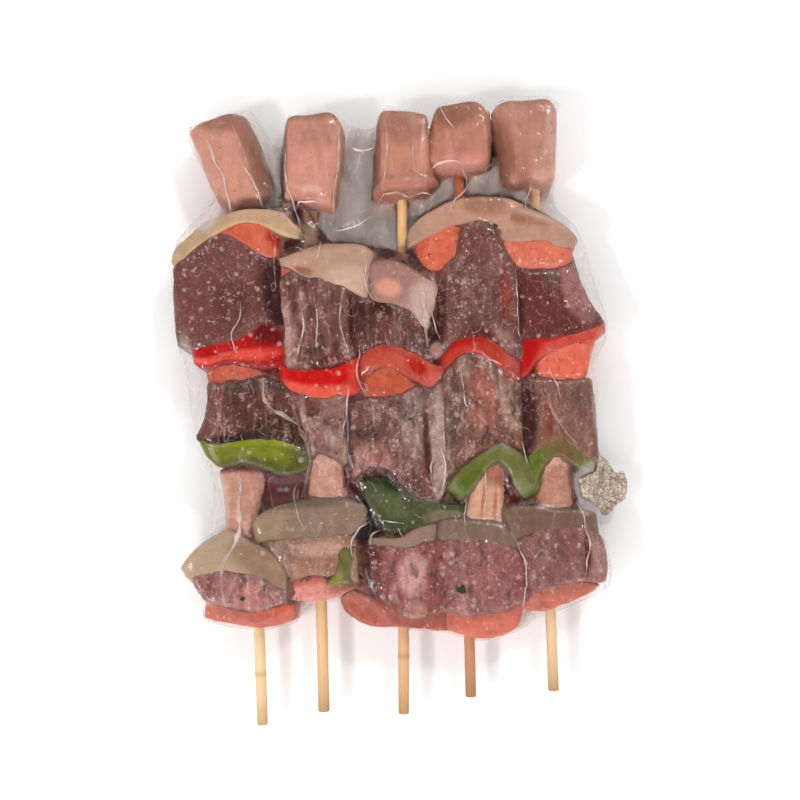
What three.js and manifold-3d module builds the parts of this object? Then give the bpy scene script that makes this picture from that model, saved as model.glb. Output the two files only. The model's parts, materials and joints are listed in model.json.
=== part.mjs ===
// Vacuum pack of raw anticucho skewers. Millimetres, +Z up.
// The pack lies flat: skewers side by side along Y, bare stick handles towards -Y.
// One solid stands for the clear film and the food it is sucked down on; each bamboo stick is a
// solid of its own that runs through the food in a close bore.
// The origin is the middle of the whole pack's plan, on the surface it lies on.
import * as THREE from "three";
import { mergeVertices } from "three/addons/utils/BufferGeometryUtils.js";
import Module from "manifold-3d";

const wasm = await Module();
wasm.setup();

// ---- driving dimensions -------------------------------------------------------------------

const STICK = {
  length: 250,
  radius: 2.3,
  sides: 12,
  endRadius: 1.7, // of the flat handle end, inside its rounded edge
  rounding: 0.9, // length of that rounded edge
  point: 16, // length of the taper at the far end
  pointRadius: 0.5,
};
const STICK_HEIGHT = 14; // centre line of every stick above the surface
const CLEARANCE = 0.35; // between a stick and its bore
const BORE_OVERRUN = 12; // how far a bore starts outside the handle end of the food

const FILM = 1.1; // least thickness of the pack, where the two films touch
const SEAM_HEIGHT = 11; // where the top film meets the bottom film
const SUCTION = 0.42; // how far the film dips at each grid step between two pieces
const CRUSH = 4; // how much of each piece's round belly is pressed flat
const SETTLING = 90; // passes that pull the film tight over the food

const COLUMNS = 50; // grid of the top film, across the skewers
const ROWS = 64; // and along them
const COARSER = 2; // the bottom film, nearly flat, keeps every second line of that grid
const EDGE_PULL = 0.55; // 0 spaces the grid evenly, 1 crowds it at the seam

// How each food is cut: full height, and how square its flanks and its ends are
// (2 is round, larger is squarer).
const CUTS = {
  frankfurter: { tall: 24, flank: 2, end: 8 },
  longaniza: { tall: 30, flank: 2, end: 4 },
  beef: { tall: 29, flank: 2.5, end: 3 },
  pepper: { tall: 25, flank: 2.4, end: 2.2 },
  onion: { tall: 28, flank: 2, end: 2.2 },
  sausage: { tall: 25, flank: 2.2, end: 5 },
};

// Each skewer: where the middle of its handle end is, its lean (sideways run per unit of length),
// and its food as [kind, along, side, long, wide, turn]. along is the piece's middle, measured
// from the handle end; side is its offset to the right; turn is in degrees, left about +Z.
const SKEWERS = [
  {
    handle: [-57.8, -134.4],
    lean: -0.0455,
    food: [
      ["longaniza", 47, -3, 12, 40, 0],
      ["beef", 56, -7, 17, 37, 0],
      ["onion", 69, -8, 24, 48, 0],
      ["sausage", 92, -5, 28, 19, 4],
      ["pepper", 113, 0, 14, 48, 0],
      ["beef", 131, 2, 27, 45, -2],
      ["longaniza", 148, -7, 9, 27, 0],
      ["pepper", 160, -4, 15, 43, 6],
      ["beef", 183, -7, 46, 48, 3],
      ["longaniza", 203, 3, 16, 30, -20],
      ["onion", 206, -3, 22, 56, 12],
      ["frankfurter", 239, -4, 42, 22, 20],
    ],
  },
  {
    handle: [-32.1, -129],
    lean: -0.0304,
    food: [
      ["longaniza", 53, 0, 11, 30, 0],
      ["beef", 64, -3, 18, 36, 0],
      ["pepper", 61, 10, 14, 11, 0],
      ["onion", 80, -2, 19, 50, 0],
      ["sausage", 99, 5, 20, 24, 0],
      ["beef", 120, 1, 26, 25, 0],
      ["pepper", 139, 2, 14, 35, 0],
      ["beef", 162, 0, 38, 28, 0],
      ["longaniza", 184, -10, 9, 11, 0],
      ["onion", 189, 5, 17, 42, 0],
      ["frankfurter", 234, 1, 43, 24, -2],
    ],
  },
  {
    handle: [1.4, -129.9],
    lean: -0.003,
    food: [
      ["longaniza", 43, -3, 14, 43, -4],
      ["beef", 56, 2, 34, 36, 0],
      ["onion", 74, 2, 8, 36, 2],
      ["pepper", 88, 3, 22, 44, -6],
      ["beef", 112, -2, 44, 43, 0],
      ["longaniza", 139, -5, 13, 26, 0],
      ["pepper", 146, 0, 16, 37, -6],
      ["beef", 162, -4, 29, 40, 0],
      ["onion", 183, 1, 18, 34, -8],
      ["frankfurter", 236, 1, 43, 24, 0],
    ],
  },
  {
    handle: [29.5, -122.9],
    lean: -0.0183,
    food: [
      ["longaniza", 32, 6, 13, 33, 4],
      ["beef", 50, 6, 30, 35, 0],
      ["onion", 68, 5, 12, 34, 0],
      ["sausage", 84, 8, 27, 18, -4],
      ["pepper", 94, 9, 20, 34, 0],
      ["beef", 122, 7, 40, 34, 0],
      ["pepper", 142, 7, 16, 35, 0],
      ["beef", 173, 7, 50, 34, -4],
      ["longaniza", 190, -9, 17, 21, 12],
      ["onion", 202, 2, 19, 47, 6],
      ["frankfurter", 238, 1, 35, 25, -2],
    ],
  },
  {
    handle: [64.3, -120.4],
    lean: -0.0269,
    food: [
      ["longaniza", 40, 2, 12, 30, 6],
      ["beef", 55, 6, 26, 38, 0],
      ["onion", 71, 2, 15, 42, -4],
      ["sausage", 87, 4, 25, 19, 0],
      ["pepper", 92, 7, 20, 31, 0],
      ["beef", 115, 6, 34, 33, 0],
      ["longaniza", 139, 10, 16, 21, 0],
      ["pepper", 143, 9, 18, 37, 8],
      ["beef", 163, 9, 32, 38, 0],
      ["longaniza", 184, -1, 13, 32, 0],
      ["onion", 196, 2, 17, 35, -12],
      ["frankfurter", 232, -4, 43, 26, 0],
    ],
  },
];

// The seam of the film seen from above, corner to corner. left and right are [y, x] going up the
// pack, bottom and top are [x, y] going across it.
const SEAM = {
  left: [
    [-92, -82], [-88, -84], [-78, -85], [-69, -93], [-60, -84], [-43, -81], [-24, -84], [-2, -89],
    [15, -93], [29, -97], [61, -99], [73, -96], [87, -86], [92, -80], [106, -86], [123, -90],
  ],
  right: [
    [-83, 80], [-78, 88], [-70, 90], [-48, 86], [-28, 85], [2, 85], [26, 86], [34, 89], [50, 85],
    [73, 80], [86, 71], [92, 65], [99, 68], [117, 67], [136, 64],
  ],
  bottom: [
    [-82, -92], [-72, -95], [-57, -95], [-44, -91], [-38, -85], [-30, -84], [-24, -86],
    [-18, -92], [0, -95], [17, -96], [27, -99], [42, -99], [50, -94], [55, -88], [72, -86],
    [80, -83],
  ],
  top: [
    [-90, 123], [-79, 127], [-68, 131], [-61, 121], [-56, 115], [-51, 120], [-48, 129],
    [-30, 130], [-23, 124], [-16, 122], [-11, 128], [-7, 131], [8, 131], [13, 127], [18, 133],
    [33, 136], [40, 133], [46, 136], [64, 136],
  ],
};

// The stiff crackled end of the seal that stands out of the right side, as [x, y].
const FLAP = {
  outline: [
    [76, -22], [85, -18], [91, -26], [95, -27], [98, -32], [98, -38], [88, -47], [80, -42],
    [76, -40],
  ],
  thick: 1.2,
  height: 13, // at the side of the pack
  droop: 6, // degrees that its free end hangs down
};

const COLOURS = {
  film: { color: 0x8a5a4c, roughness: 0.25, metalness: 0 },
  bamboo: { color: 0xdcb682, roughness: 0.7, metalness: 0 },
};

// ---- small helpers ------------------------------------------------------------------------

const radians = THREE.MathUtils.degToRad;
const lerp = THREE.MathUtils.lerp;

// A closed geometry as a solid for cutting and joining.
function toSolid(geometry) {
  const bare = geometry.clone();
  bare.deleteAttribute("normal");
  bare.deleteAttribute("uv");
  const merged = mergeVertices(bare, 1e-4);
  return new wasm.Manifold(
    new wasm.Mesh({
      numProp: 3,
      vertProperties: Float32Array.from(merged.attributes.position.array),
      triVerts: Uint32Array.from(merged.index.array),
    }),
  );
}

// A solid back as a geometry with flat faces.
function toGeometry(solid) {
  const mesh = solid.getMesh();
  const geometry = new THREE.BufferGeometry();
  geometry.setAttribute("position", new THREE.BufferAttribute(mesh.vertProperties, 3));
  geometry.setIndex(new THREE.BufferAttribute(mesh.triVerts, 1));
  return geometry;
}

// A smooth curve through [at, value] pairs: a cubic between neighbours whose slope at each
// pair is the slope from the pair before to the pair after.
function through(pairs) {
  const slopes = pairs.map((_, i) => {
    const before = pairs[Math.max(i - 1, 0)];
    const after = pairs[Math.min(i + 1, pairs.length - 1)];
    return (after[1] - before[1]) / (after[0] - before[0]);
  });
  return (at) => {
    const next = pairs.findIndex((pair) => pair[0] >= at);
    const i = THREE.MathUtils.clamp(next - 1, 0, pairs.length - 2);
    const span = pairs[i + 1][0] - pairs[i][0];
    const t = THREE.MathUtils.clamp((at - pairs[i][0]) / span, 0, 1);
    return (
      pairs[i][1] * (1 - t) ** 2 * (1 + 2 * t) +
      slopes[i] * span * t * (1 - t) ** 2 +
      pairs[i + 1][1] * t ** 2 * (3 - 2 * t) -
      slopes[i + 1] * span * t ** 2 * (1 - t)
    );
  };
}

// Grid line i of n, from 0 to 1, with lines crowded at both ends.
function spread(i, n) {
  return lerp(i / n, (1 - Math.cos((Math.PI * i) / n)) / 2, EDGE_PULL);
}

// ---- the sticks ---------------------------------------------------------------------------

// A round stick along +Y: a rounded handle end at start, a straight shaft and a point. grow makes
// it fatter, and longer at its point, for its bore.
function stickGeometry(grow, start) {
  const { length, radius, sides, endRadius, rounding, point, pointRadius } = STICK;
  const profile = [
    [0, start],
    [endRadius + grow, start],
    [radius + grow, start + rounding],
    [radius + grow, length - point],
    [pointRadius + grow, length + grow],
    [0, length + grow],
  ];
  return new THREE.LatheGeometry(profile.map(([r, y]) => new THREE.Vector2(r, y)), sides);
}

// Turns and moves what lies along +Y onto a skewer's centre line.
function placeOnSkewer(object, skewer) {
  object.rotation.z = -Math.atan(skewer.lean);
  object.position.set(...skewer.handle, STICK_HEIGHT);
  return object;
}

function boreSolid(skewer) {
  const holder = placeOnSkewer(new THREE.Object3D(), skewer);
  holder.updateMatrix();
  const first = skewer.food[0];
  const start = first[1] - first[3] / 2 - BORE_OVERRUN;
  return toSolid(stickGeometry(CLEARANCE, start).applyMatrix4(holder.matrix));
}

// ---- the food under the film --------------------------------------------------------------

// Every piece with its middle and its half sizes, in the pack's own plan.
const PIECES = SKEWERS.flatMap(({ handle, lean, food }) => {
  const scale = Math.hypot(1, lean);
  const ahead = new THREE.Vector2(lean / scale, 1 / scale);
  const right = new THREE.Vector2(ahead.y, -ahead.x);
  return food.map(([kind, along, side, long, wide, turn]) => ({
    ...CUTS[kind],
    centre: new THREE.Vector2(...handle).addScaledVector(ahead, along).addScaledVector(right, side),
    halfLong: long / 2,
    halfWide: wide / 2,
    angle: radians(turn) - Math.atan(lean),
  }));
});

// How full a piece is over a point of the plan: 1 at its middle, 0 at and beyond its rim. The
// two factors are superellipse arcs, across the piece and along it.
function fullness(piece, x, y) {
  const dx = x - piece.centre.x;
  const dy = y - piece.centre.y;
  const cos = Math.cos(piece.angle);
  const sin = Math.sin(piece.angle);
  const across = Math.abs(dx * cos + dy * sin) / piece.halfWide;
  const along = Math.abs(dy * cos - dx * sin) / piece.halfLong;
  if (across >= 1 || along >= 1) return 0;
  return (1 - across ** piece.flank) ** (1 / piece.flank) * (1 - along ** piece.end) ** (1 / piece.end);
}

// The highest food over a point, and the lowest: a piece is as deep below its stick as it is
// high above it, and what would reach below the surface is pressed flat on it.
function foodAt(x, y) {
  const span = { top: -Infinity, bottom: Infinity };
  for (const piece of PIECES) {
    const full = fullness(piece, x, y);
    if (full === 0) continue;
    span.top = Math.max(span.top, STICK_HEIGHT + (piece.tall / 2) * full);
    const belly = STICK_HEIGHT - (STICK_HEIGHT + CRUSH) * full;
    span.bottom = Math.min(span.bottom, Math.max(belly, 0));
  }
  return span;
}

// ---- the film -----------------------------------------------------------------------------

// The plan of the pack as a grid: a Coons patch, which blends the four sides of the seam.
function seamGrid() {
  const left = through(SEAM.left);
  const right = through(SEAM.right);
  const bottom = through(SEAM.bottom);
  const top = through(SEAM.top);
  const ends = (pairs) => [pairs[0][0], pairs.at(-1)[0]];
  const onSide = (side, pairs, v) => {
    const y = lerp(...ends(pairs), v);
    return new THREE.Vector2(side(y), y);
  };
  const onEnd = (end, pairs, u) => {
    const x = lerp(...ends(pairs), u);
    return new THREE.Vector2(x, end(x));
  };
  const lines = [];
  for (let j = 0; j <= ROWS; j++) {
    const v = spread(j, ROWS);
    for (let i = 0; i <= COLUMNS; i++) {
      const u = spread(i, COLUMNS);
      const between = (a, b, t) => a.clone().lerp(b, t);
      const ruledAcross = between(onSide(left, SEAM.left, v), onSide(right, SEAM.right, v), u);
      const ruledAlong = between(onEnd(bottom, SEAM.bottom, u), onEnd(top, SEAM.top, u), v);
      const lower = between(onEnd(bottom, SEAM.bottom, 0), onEnd(bottom, SEAM.bottom, 1), u);
      const upper = between(onEnd(top, SEAM.top, 0), onEnd(top, SEAM.top, 1), u);
      lines.push(ruledAcross.add(ruledAlong).sub(between(lower, upper, v)));
    }
  }
  return lines;
}

// Pulls a film tight. Each pass moves every inner point to the mean of its four neighbours,
// less the suction, but never through the food. side is 1 for the top film and -1 for the
// bottom film, which is worked out upside down.
function pullTight(food, side) {
  const width = COLUMNS + 1;
  const heights = food.map((z) => (Number.isFinite(z) ? side * z : side * SEAM_HEIGHT));
  const limit = food.map((z) => (Number.isFinite(z) ? side * z : -Infinity));
  const rimHeight = side * SEAM_HEIGHT + FILM / 2;
  for (let pass = 0; pass <= SETTLING; pass++) {
    for (let j = 0; j <= ROWS; j++) {
      for (let i = 0; i <= COLUMNS; i++) {
        const k = j * width + i;
        if (i === 0 || j === 0 || i === COLUMNS || j === ROWS) {
          heights[k] = rimHeight;
          continue;
        }
        const mean = (heights[k - 1] + heights[k + 1] + heights[k - width] + heights[k + width]) / 4;
        heights[k] = Math.max(mean - SUCTION, limit[k]);
      }
    }
  }
  return heights.map((z) => side * z);
}

// The closed skin of the pack: the top film, the coarser bottom film and the rim between them.
function packSolid() {
  const plan = seamGrid();
  const food = plan.map(({ x, y }) => foodAt(x, y));
  const top = pullTight(food.map((span) => span.top), 1);
  const bottom = pullTight(food.map((span) => span.bottom), -1);
  const positions = [];
  plan.forEach(({ x, y }, k) => positions.push(x, y, Math.max(top[k], bottom[k] + FILM)));
  plan.forEach(({ x, y }, k) => positions.push(x, y, Math.max(bottom[k], 0)));
  const upper = (i, j) => j * (COLUMNS + 1) + i;
  const lower = (i, j) => plan.length + upper(i, j);
  const indices = [];
  const quad = (a, b, c, d) => indices.push(a, b, c, a, c, d);
  for (let j = 0; j < ROWS; j++) {
    for (let i = 0; i < COLUMNS; i++) {
      quad(upper(i, j), upper(i + 1, j), upper(i + 1, j + 1), upper(i, j + 1));
    }
  }
  for (let j = 0; j < ROWS; j += COARSER) {
    for (let i = 0; i < COLUMNS; i += COARSER) {
      const [iNext, jNext] = [i + COARSER, j + COARSER];
      quad(lower(i, j), lower(i, jNext), lower(iNext, jNext), lower(iNext, j));
    }
  }
  // The rim joins two edges of the top film to one of the bottom film, going round the pack
  // with the pack on its left.
  const rim = (at, count) => {
    for (let n = 0; n < count; n += COARSER) {
      const [a, b, c] = [n, n + 1, n + COARSER].map((step) => at(step));
      indices.push(upper(...a), lower(...a), upper(...b));
      indices.push(upper(...b), lower(...a), lower(...c));
      indices.push(upper(...b), lower(...c), upper(...c));
    }
  };
  rim((n) => [n, 0], COLUMNS);
  rim((n) => [COLUMNS, n], ROWS);
  rim((n) => [COLUMNS - n, ROWS], COLUMNS);
  rim((n) => [0, ROWS - n], ROWS);
  const geometry = new THREE.BufferGeometry();
  geometry.setAttribute("position", new THREE.Float32BufferAttribute(positions, 3));
  geometry.setIndex(indices);
  return toSolid(geometry);
}

// The crackled flap: its outline extruded, hanging down a little towards its free end.
function flapSolid() {
  const { outline, thick, height, droop } = FLAP;
  const root = outline[0][0];
  const shape = new THREE.Shape(outline.map(([x, y]) => new THREE.Vector2(x - root, y)));
  const geometry = new THREE.ExtrudeGeometry(shape, { depth: thick, bevelEnabled: false });
  geometry.rotateY(radians(droop));
  geometry.translate(root, 0, height - thick / 2);
  return toSolid(geometry);
}

// ---- the whole pack -----------------------------------------------------------------------

function namedMesh(name, geometry, finish) {
  const mesh = new THREE.Mesh(geometry, new THREE.MeshStandardMaterial(finish));
  mesh.name = name;
  return mesh;
}

const bores = SKEWERS.map(boreSolid);
const film = bores.reduce((solid, bore) => solid.subtract(bore), packSolid().add(flapSolid()));
const pack = new THREE.Group();
pack.add(namedMesh("vacuum_bag", toGeometry(film), COLOURS.film));
SKEWERS.forEach((skewer, i) => {
  const stick = namedMesh(`stick_${i + 1}`, stickGeometry(0, 0), COLOURS.bamboo);
  pack.add(placeOnSkewer(stick, skewer));
});

const box = new THREE.Box3().setFromObject(pack);
const middle = box.getCenter(new THREE.Vector3());
pack.position.set(-middle.x, -middle.y, -box.min.z);

export default pack;
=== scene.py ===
"""Vacuum pack of raw anticucho skewers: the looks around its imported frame.

Five bamboo skewers of beef, sausage, onion and sweet pepper lie side by side in a clear film
that is sucked tight over them. Sizes in the tables are millimetres. A skewer's own plan has side,
to the right of its stick, and along, from the handle end towards the point; heights are above
the surface that the pack lies on.
"""

from __future__ import annotations

import itertools
import json
import logging
import math
from dataclasses import dataclass
from enum import Enum
from typing import ClassVar

import bpy
import numpy as np
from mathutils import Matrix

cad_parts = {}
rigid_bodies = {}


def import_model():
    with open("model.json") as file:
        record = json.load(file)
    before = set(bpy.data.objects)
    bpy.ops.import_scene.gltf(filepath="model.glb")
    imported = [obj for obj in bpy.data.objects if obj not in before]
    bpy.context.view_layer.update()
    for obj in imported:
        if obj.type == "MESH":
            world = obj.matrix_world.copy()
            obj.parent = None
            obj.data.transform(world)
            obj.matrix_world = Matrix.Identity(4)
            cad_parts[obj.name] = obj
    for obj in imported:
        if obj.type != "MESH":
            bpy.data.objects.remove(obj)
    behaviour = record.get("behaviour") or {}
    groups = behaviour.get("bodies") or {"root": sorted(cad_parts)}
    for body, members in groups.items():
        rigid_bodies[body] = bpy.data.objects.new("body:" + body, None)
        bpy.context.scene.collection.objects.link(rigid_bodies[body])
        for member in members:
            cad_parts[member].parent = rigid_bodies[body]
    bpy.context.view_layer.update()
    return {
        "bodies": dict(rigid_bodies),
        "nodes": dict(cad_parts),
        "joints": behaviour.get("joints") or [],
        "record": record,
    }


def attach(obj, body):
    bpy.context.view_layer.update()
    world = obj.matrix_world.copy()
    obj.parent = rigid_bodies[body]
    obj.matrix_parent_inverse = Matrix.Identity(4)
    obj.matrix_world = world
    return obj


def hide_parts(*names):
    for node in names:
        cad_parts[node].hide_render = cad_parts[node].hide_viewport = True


MM = 0.001
STICK_HEIGHT = 14.0  # centre line of every stick
FILM_SHINE = 0.019  # white that the film adds to what is under it
FILM_CLEAR = 1.19  # share of the light that comes back through it
FLOOR_GAP = 0.7  # the least height of food, which leaves room for the bottom film

Array = np.ndarray
Colour = tuple[float, float, float]
Pairs = tuple[tuple[float, float], ...]

log = logging.getLogger("anticuchos")


# ---- numbers and fields -----------------------------------------------------------------------


def tint(code: str) -> Colour:
    """Turns a display colour into linear red, green and blue.

    Args:
        code: six hexadecimal digits.

    Returns:
        The linear colour.
    """
    parts = np.array([int(code[k : k + 2], 16) for k in (0, 2, 4)]) / 255
    linear = np.where(parts <= 0.04045, parts / 12.92, ((parts + 0.055) / 1.055) ** 2.4)
    return tuple(linear.tolist())


def under_film(code: str) -> Array:
    """The linear colour that looks like a display colour through the film.

    The film takes a share of the light and its shine adds a little white, so the shine is taken
    off first and the rest is scaled up.
    """
    return np.clip((np.array(tint(code)) - FILM_SHINE) / FILM_CLEAR, 0.001, 0.95)


def smooth(values: Array, low: float, high: float) -> Array:
    """0 below low, 1 above high, and the cubic 3t^2 - 2t^3 between them."""
    t = np.clip((values - low) / (high - low), 0, 1)
    return t * t * (3 - 2 * t)


def curve_through(points: Pairs | Array, at: Array) -> Array:
    """A smooth curve through evenly spaced points.

    The slope at each point is half the step from the point before it to the point after it.

    Args:
        points: the points to pass through, one row each.
        at: places on the curve, from 0 at the first point to 1 at the last.

    Returns:
        The curve's points, with the shape of at and one more axis.
    """
    knots = np.asarray(points, float)
    padded = np.vstack([2 * knots[:1] - knots[1:2], knots, 2 * knots[-1:] - knots[-2:-1]])
    place = np.clip(at, 0, 1) * (len(knots) - 1)
    first = np.minimum(place.astype(int), len(knots) - 2)
    return cubic(knots, (padded[2:] - padded[:-2]) / 2, first, (place - first)[..., None], 1)


def curve_over(pairs: Pairs, at: Array) -> Array:
    """A smooth curve through pairs of place and value, at uneven places.

    The slope at each pair is the slope from the pair before it to the pair after it.

    Args:
        pairs: the places, rising, each with its value.
        at: where the curve is wanted.

    Returns:
        The values.
    """
    places, values = np.asarray(pairs, float).T
    before = np.maximum(np.arange(len(places)) - 1, 0)
    after = np.minimum(np.arange(len(places)) + 1, len(places) - 1)
    slopes = (values[after] - values[before]) / (places[after] - places[before])
    first = np.clip(np.searchsorted(places, at) - 1, 0, len(places) - 2)
    span = places[first + 1] - places[first]
    return cubic(values, slopes, first, np.clip((at - places[first]) / span, 0, 1), span)


def cubic(values: Array, slopes: Array, first: Array, t: Array, span: Array | float) -> Array:
    """The cubic from one value to the next that leaves and arrives with their slopes.

    Args:
        values: the values to pass through.
        slopes: the slope at each value.
        first: the number of the value before each place.
        t: how far each place is towards the next value, from 0 to 1.
        span: the distance between the two values.

    Returns:
        The curve at each place.
    """
    return (
        values[first] * (1 - t) ** 2 * (1 + 2 * t)
        + slopes[first] * span * t * (1 - t) ** 2
        + values[first + 1] * t**2 * (3 - 2 * t)
        - slopes[first + 1] * span * t**2 * (1 - t)
    )


class Field:
    """A smooth random field of space, built on a seeded lattice of random numbers."""

    SIDE = 32

    def __init__(self, seed: int) -> None:
        """Draws the lattice from a seed."""
        self.lattice = np.random.default_rng(seed).random((self.SIDE,) * 3)

    def at(self, points: Array, size: float | tuple[float, float, float]) -> Array:
        """Values from -1 to 1: the eight lattice numbers round a point, blended by smooth weights.

        Args:
            points: places in millimetres, the last axis of length 3.
            size: distance between lattice numbers, one for all axes or one for each.

        Returns:
            One value for each point.
        """
        scaled = points / np.asarray(size, float)
        cell = np.floor(scaled).astype(int)
        part = scaled - cell
        part = part * part * (3 - 2 * part)
        total = np.zeros(points.shape[:-1])
        for corner in itertools.product((0, 1), repeat=3):
            index = (cell + corner) % self.SIDE
            weight = np.prod(np.where(corner, part, 1 - part), axis=-1)
            total += weight * self.lattice[index[..., 0], index[..., 1], index[..., 2]]
        return 2 * total - 1

    def fractal(
        self, points: Array, size: float | tuple[float, float, float], octaves: int = 4
    ) -> Array:
        """The field added to itself at half the size and half the strength, again and again.

        Args:
            points: places in millimetres.
            size: distance between lattice numbers in the first layer.
            octaves: how many layers are added.

        Returns:
            One value from -1 to 1 for each point.
        """
        weights = 0.5 ** np.arange(octaves)
        layers = [
            weight * self.at(points + 7.3 * k, np.asarray(size, float) * 0.5**k)
            for k, weight in enumerate(weights)
        ]
        return sum(layers) / weights.sum()


# ---- meshes -----------------------------------------------------------------------------------


@dataclass
class Sheet:
    """A mesh in the making: grid vertices with faces, in millimetres, and values on its points."""

    points: Array  # one row of x, y, z for each vertex
    quads: Array  # four vertex numbers for each face, counter-clockwise from outside
    triangles: Array  # the same with three
    values: dict[str, Array]  # what each vertex carries, by name

    def build(self, name: str, material: bpy.types.Material, slot: str, *replaces: str) -> None:
        """Makes the piece: a Blender object, smooth shaded, with its place in its mesh.

        Args:
            name: the piece's name.
            material: its finish.
            slot: the record's slot for that finish; not used.
            replaces: the CAD nodes that it stands for.
        """
        mesh = bpy.data.meshes.new(name)
        corners = np.concatenate([self.quads.ravel(), self.triangles.ravel()])
        sizes = np.repeat([4, 3], [len(self.quads), len(self.triangles)])
        mesh.vertices.add(len(self.points))
        mesh.vertices.foreach_set("co", (self.points * MM).astype(np.float32).ravel())
        mesh.loops.add(len(corners))
        mesh.loops.foreach_set("vertex_index", corners.astype(np.int32))
        mesh.polygons.add(len(sizes))
        starts = np.concatenate([[0], np.cumsum(sizes)[:-1]])
        mesh.polygons.foreach_set("loop_start", starts.astype(np.int32))
        mesh.update(calc_edges=True)
        for key, value in self.values.items():
            kind, part = "FLOAT", "value"
            if key == "flow":
                kind, part = "FLOAT_VECTOR", "vector"
            elif key == "tone":
                kind, part = "FLOAT_COLOR", "color"
                value = np.hstack([value, np.ones((len(value), 1))])
            layer = mesh.attributes.new(key, kind, "POINT").data
            layer.foreach_set(part, value.astype(np.float32).ravel())
        mesh.shade_smooth()
        mesh.materials.append(material)
        piece = bpy.data.objects.new(name, mesh)
        bpy.context.scene.collection.objects.link(piece)
        for node in replaces:
            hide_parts(node)
        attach(piece, "root")
        log.info("%s: %d faces", name, len(sizes))


def tube_faces(rows: int, columns: int) -> tuple[Array, Array]:
    """Faces of a closed tube: rings of columns vertices between two poles.

    Vertex 0 is the first pole, then come the rings, then the second pole. Each square of the
    grid is one face, and each pole is joined to its ring by a fan.

    Args:
        rows: how many rings.
        columns: vertices in a ring.

    Returns:
        The quads and the triangles.
    """
    ring = 1 + np.arange(rows * columns).reshape(rows, columns)
    after = np.roll(ring, -1, axis=1)
    quads = np.stack([ring[:-1], ring[1:], after[1:], after[:-1]], axis=-1).reshape(-1, 4)
    last = rows * columns + 1
    first_fan = np.stack([np.zeros(columns, int), ring[0], after[0]], axis=-1)
    last_fan = np.stack([np.full(columns, last), after[-1], ring[-1]], axis=-1)
    return quads, np.vstack([first_fan, last_fan])


def grid_faces(rows: int, columns: int, first: int = 0, flipped: bool = False) -> Array:
    """Faces of an open grid, one for each square, facing up when rows go ahead and columns right.

    Args:
        rows: vertices along the first axis.
        columns: vertices along the second axis.
        first: the number of the grid's first vertex.
        flipped: whether the faces point the other way.

    Returns:
        The quads.
    """
    grid = first + np.arange(rows * columns).reshape(rows, columns)
    corners = [grid[:-1, :-1], grid[:-1, 1:], grid[1:, 1:], grid[1:, :-1]]
    return np.stack(corners[::-1] if flipped else corners, axis=-1).reshape(-1, 4)


def steps(rows: int, columns: int) -> tuple[Array, Array]:
    """A column of rows places and a row of columns places, both from 0 to 1."""
    return np.linspace(0, 1, rows)[:, None], np.linspace(0, 1, columns)[None, :]


def around(grid: Array) -> Array:
    """The mean of the four neighbours of each inner point of a grid."""
    return (grid[:-2, 1:-1] + grid[2:, 1:-1] + grid[1:-1, :-2] + grid[1:-1, 2:]) / 4


def raised(plan: Array, heights: Array) -> Array:
    """Places of the plan with a height for each."""
    return np.concatenate([plan, heights[..., None]], axis=-1)


def slab(plan: Array, top: Array, bottom: Array, values: dict[str, Array]) -> Sheet:
    """A closed body between two surfaces over one grid of the plan.

    Args:
        plan: rows x columns x 2 places.
        top: the upper surface's heights.
        bottom: the lower surface's.
        values: what the points carry, those of the top first.

    Returns:
        The mesh.
    """
    rows, columns = top.shape
    count = rows * columns
    index = np.arange(count).reshape(rows, columns)
    loop = np.concatenate([index[0, :-1], index[:-1, -1], index[-1, :0:-1], index[:0:-1, 0]])
    after = np.roll(loop, -1)
    rim = np.stack([loop + count, after + count, after, loop], axis=-1)
    quads = np.vstack([grid_faces(rows, columns), grid_faces(rows, columns, count, True), rim])
    points = np.vstack([raised(plan, heights).reshape(-1, 3) for heights in (top, bottom)])
    return Sheet(points, quads, np.zeros((0, 3), int), values)


def closed(grid: Array, values: dict[str, Array]) -> Sheet:
    """A closed mesh from rings of points, whose first and last rings shrink to their means.

    Args:
        grid: rings x columns x 3 points.
        values: what each point carries, by name.

    Returns:
        The mesh.
    """

    def flat(part: Array) -> Array:
        """Lists the first pole, the rings and the other pole.

        Args:
            part: what each point of the grid has.

        Returns:
            The list, in the order of tube_faces.
        """
        body = part[1:-1]
        first, last = body[:1].mean(axis=1), body[-1:].mean(axis=1)
        return np.concatenate([first, body.reshape(-1, *body.shape[2:]), last])

    faces = tube_faces(len(grid) - 2, grid.shape[1])
    return Sheet(flat(grid), *faces, {key: flat(value) for key, value in values.items()})


# ---- shaders ----------------------------------------------------------------------------------


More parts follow.
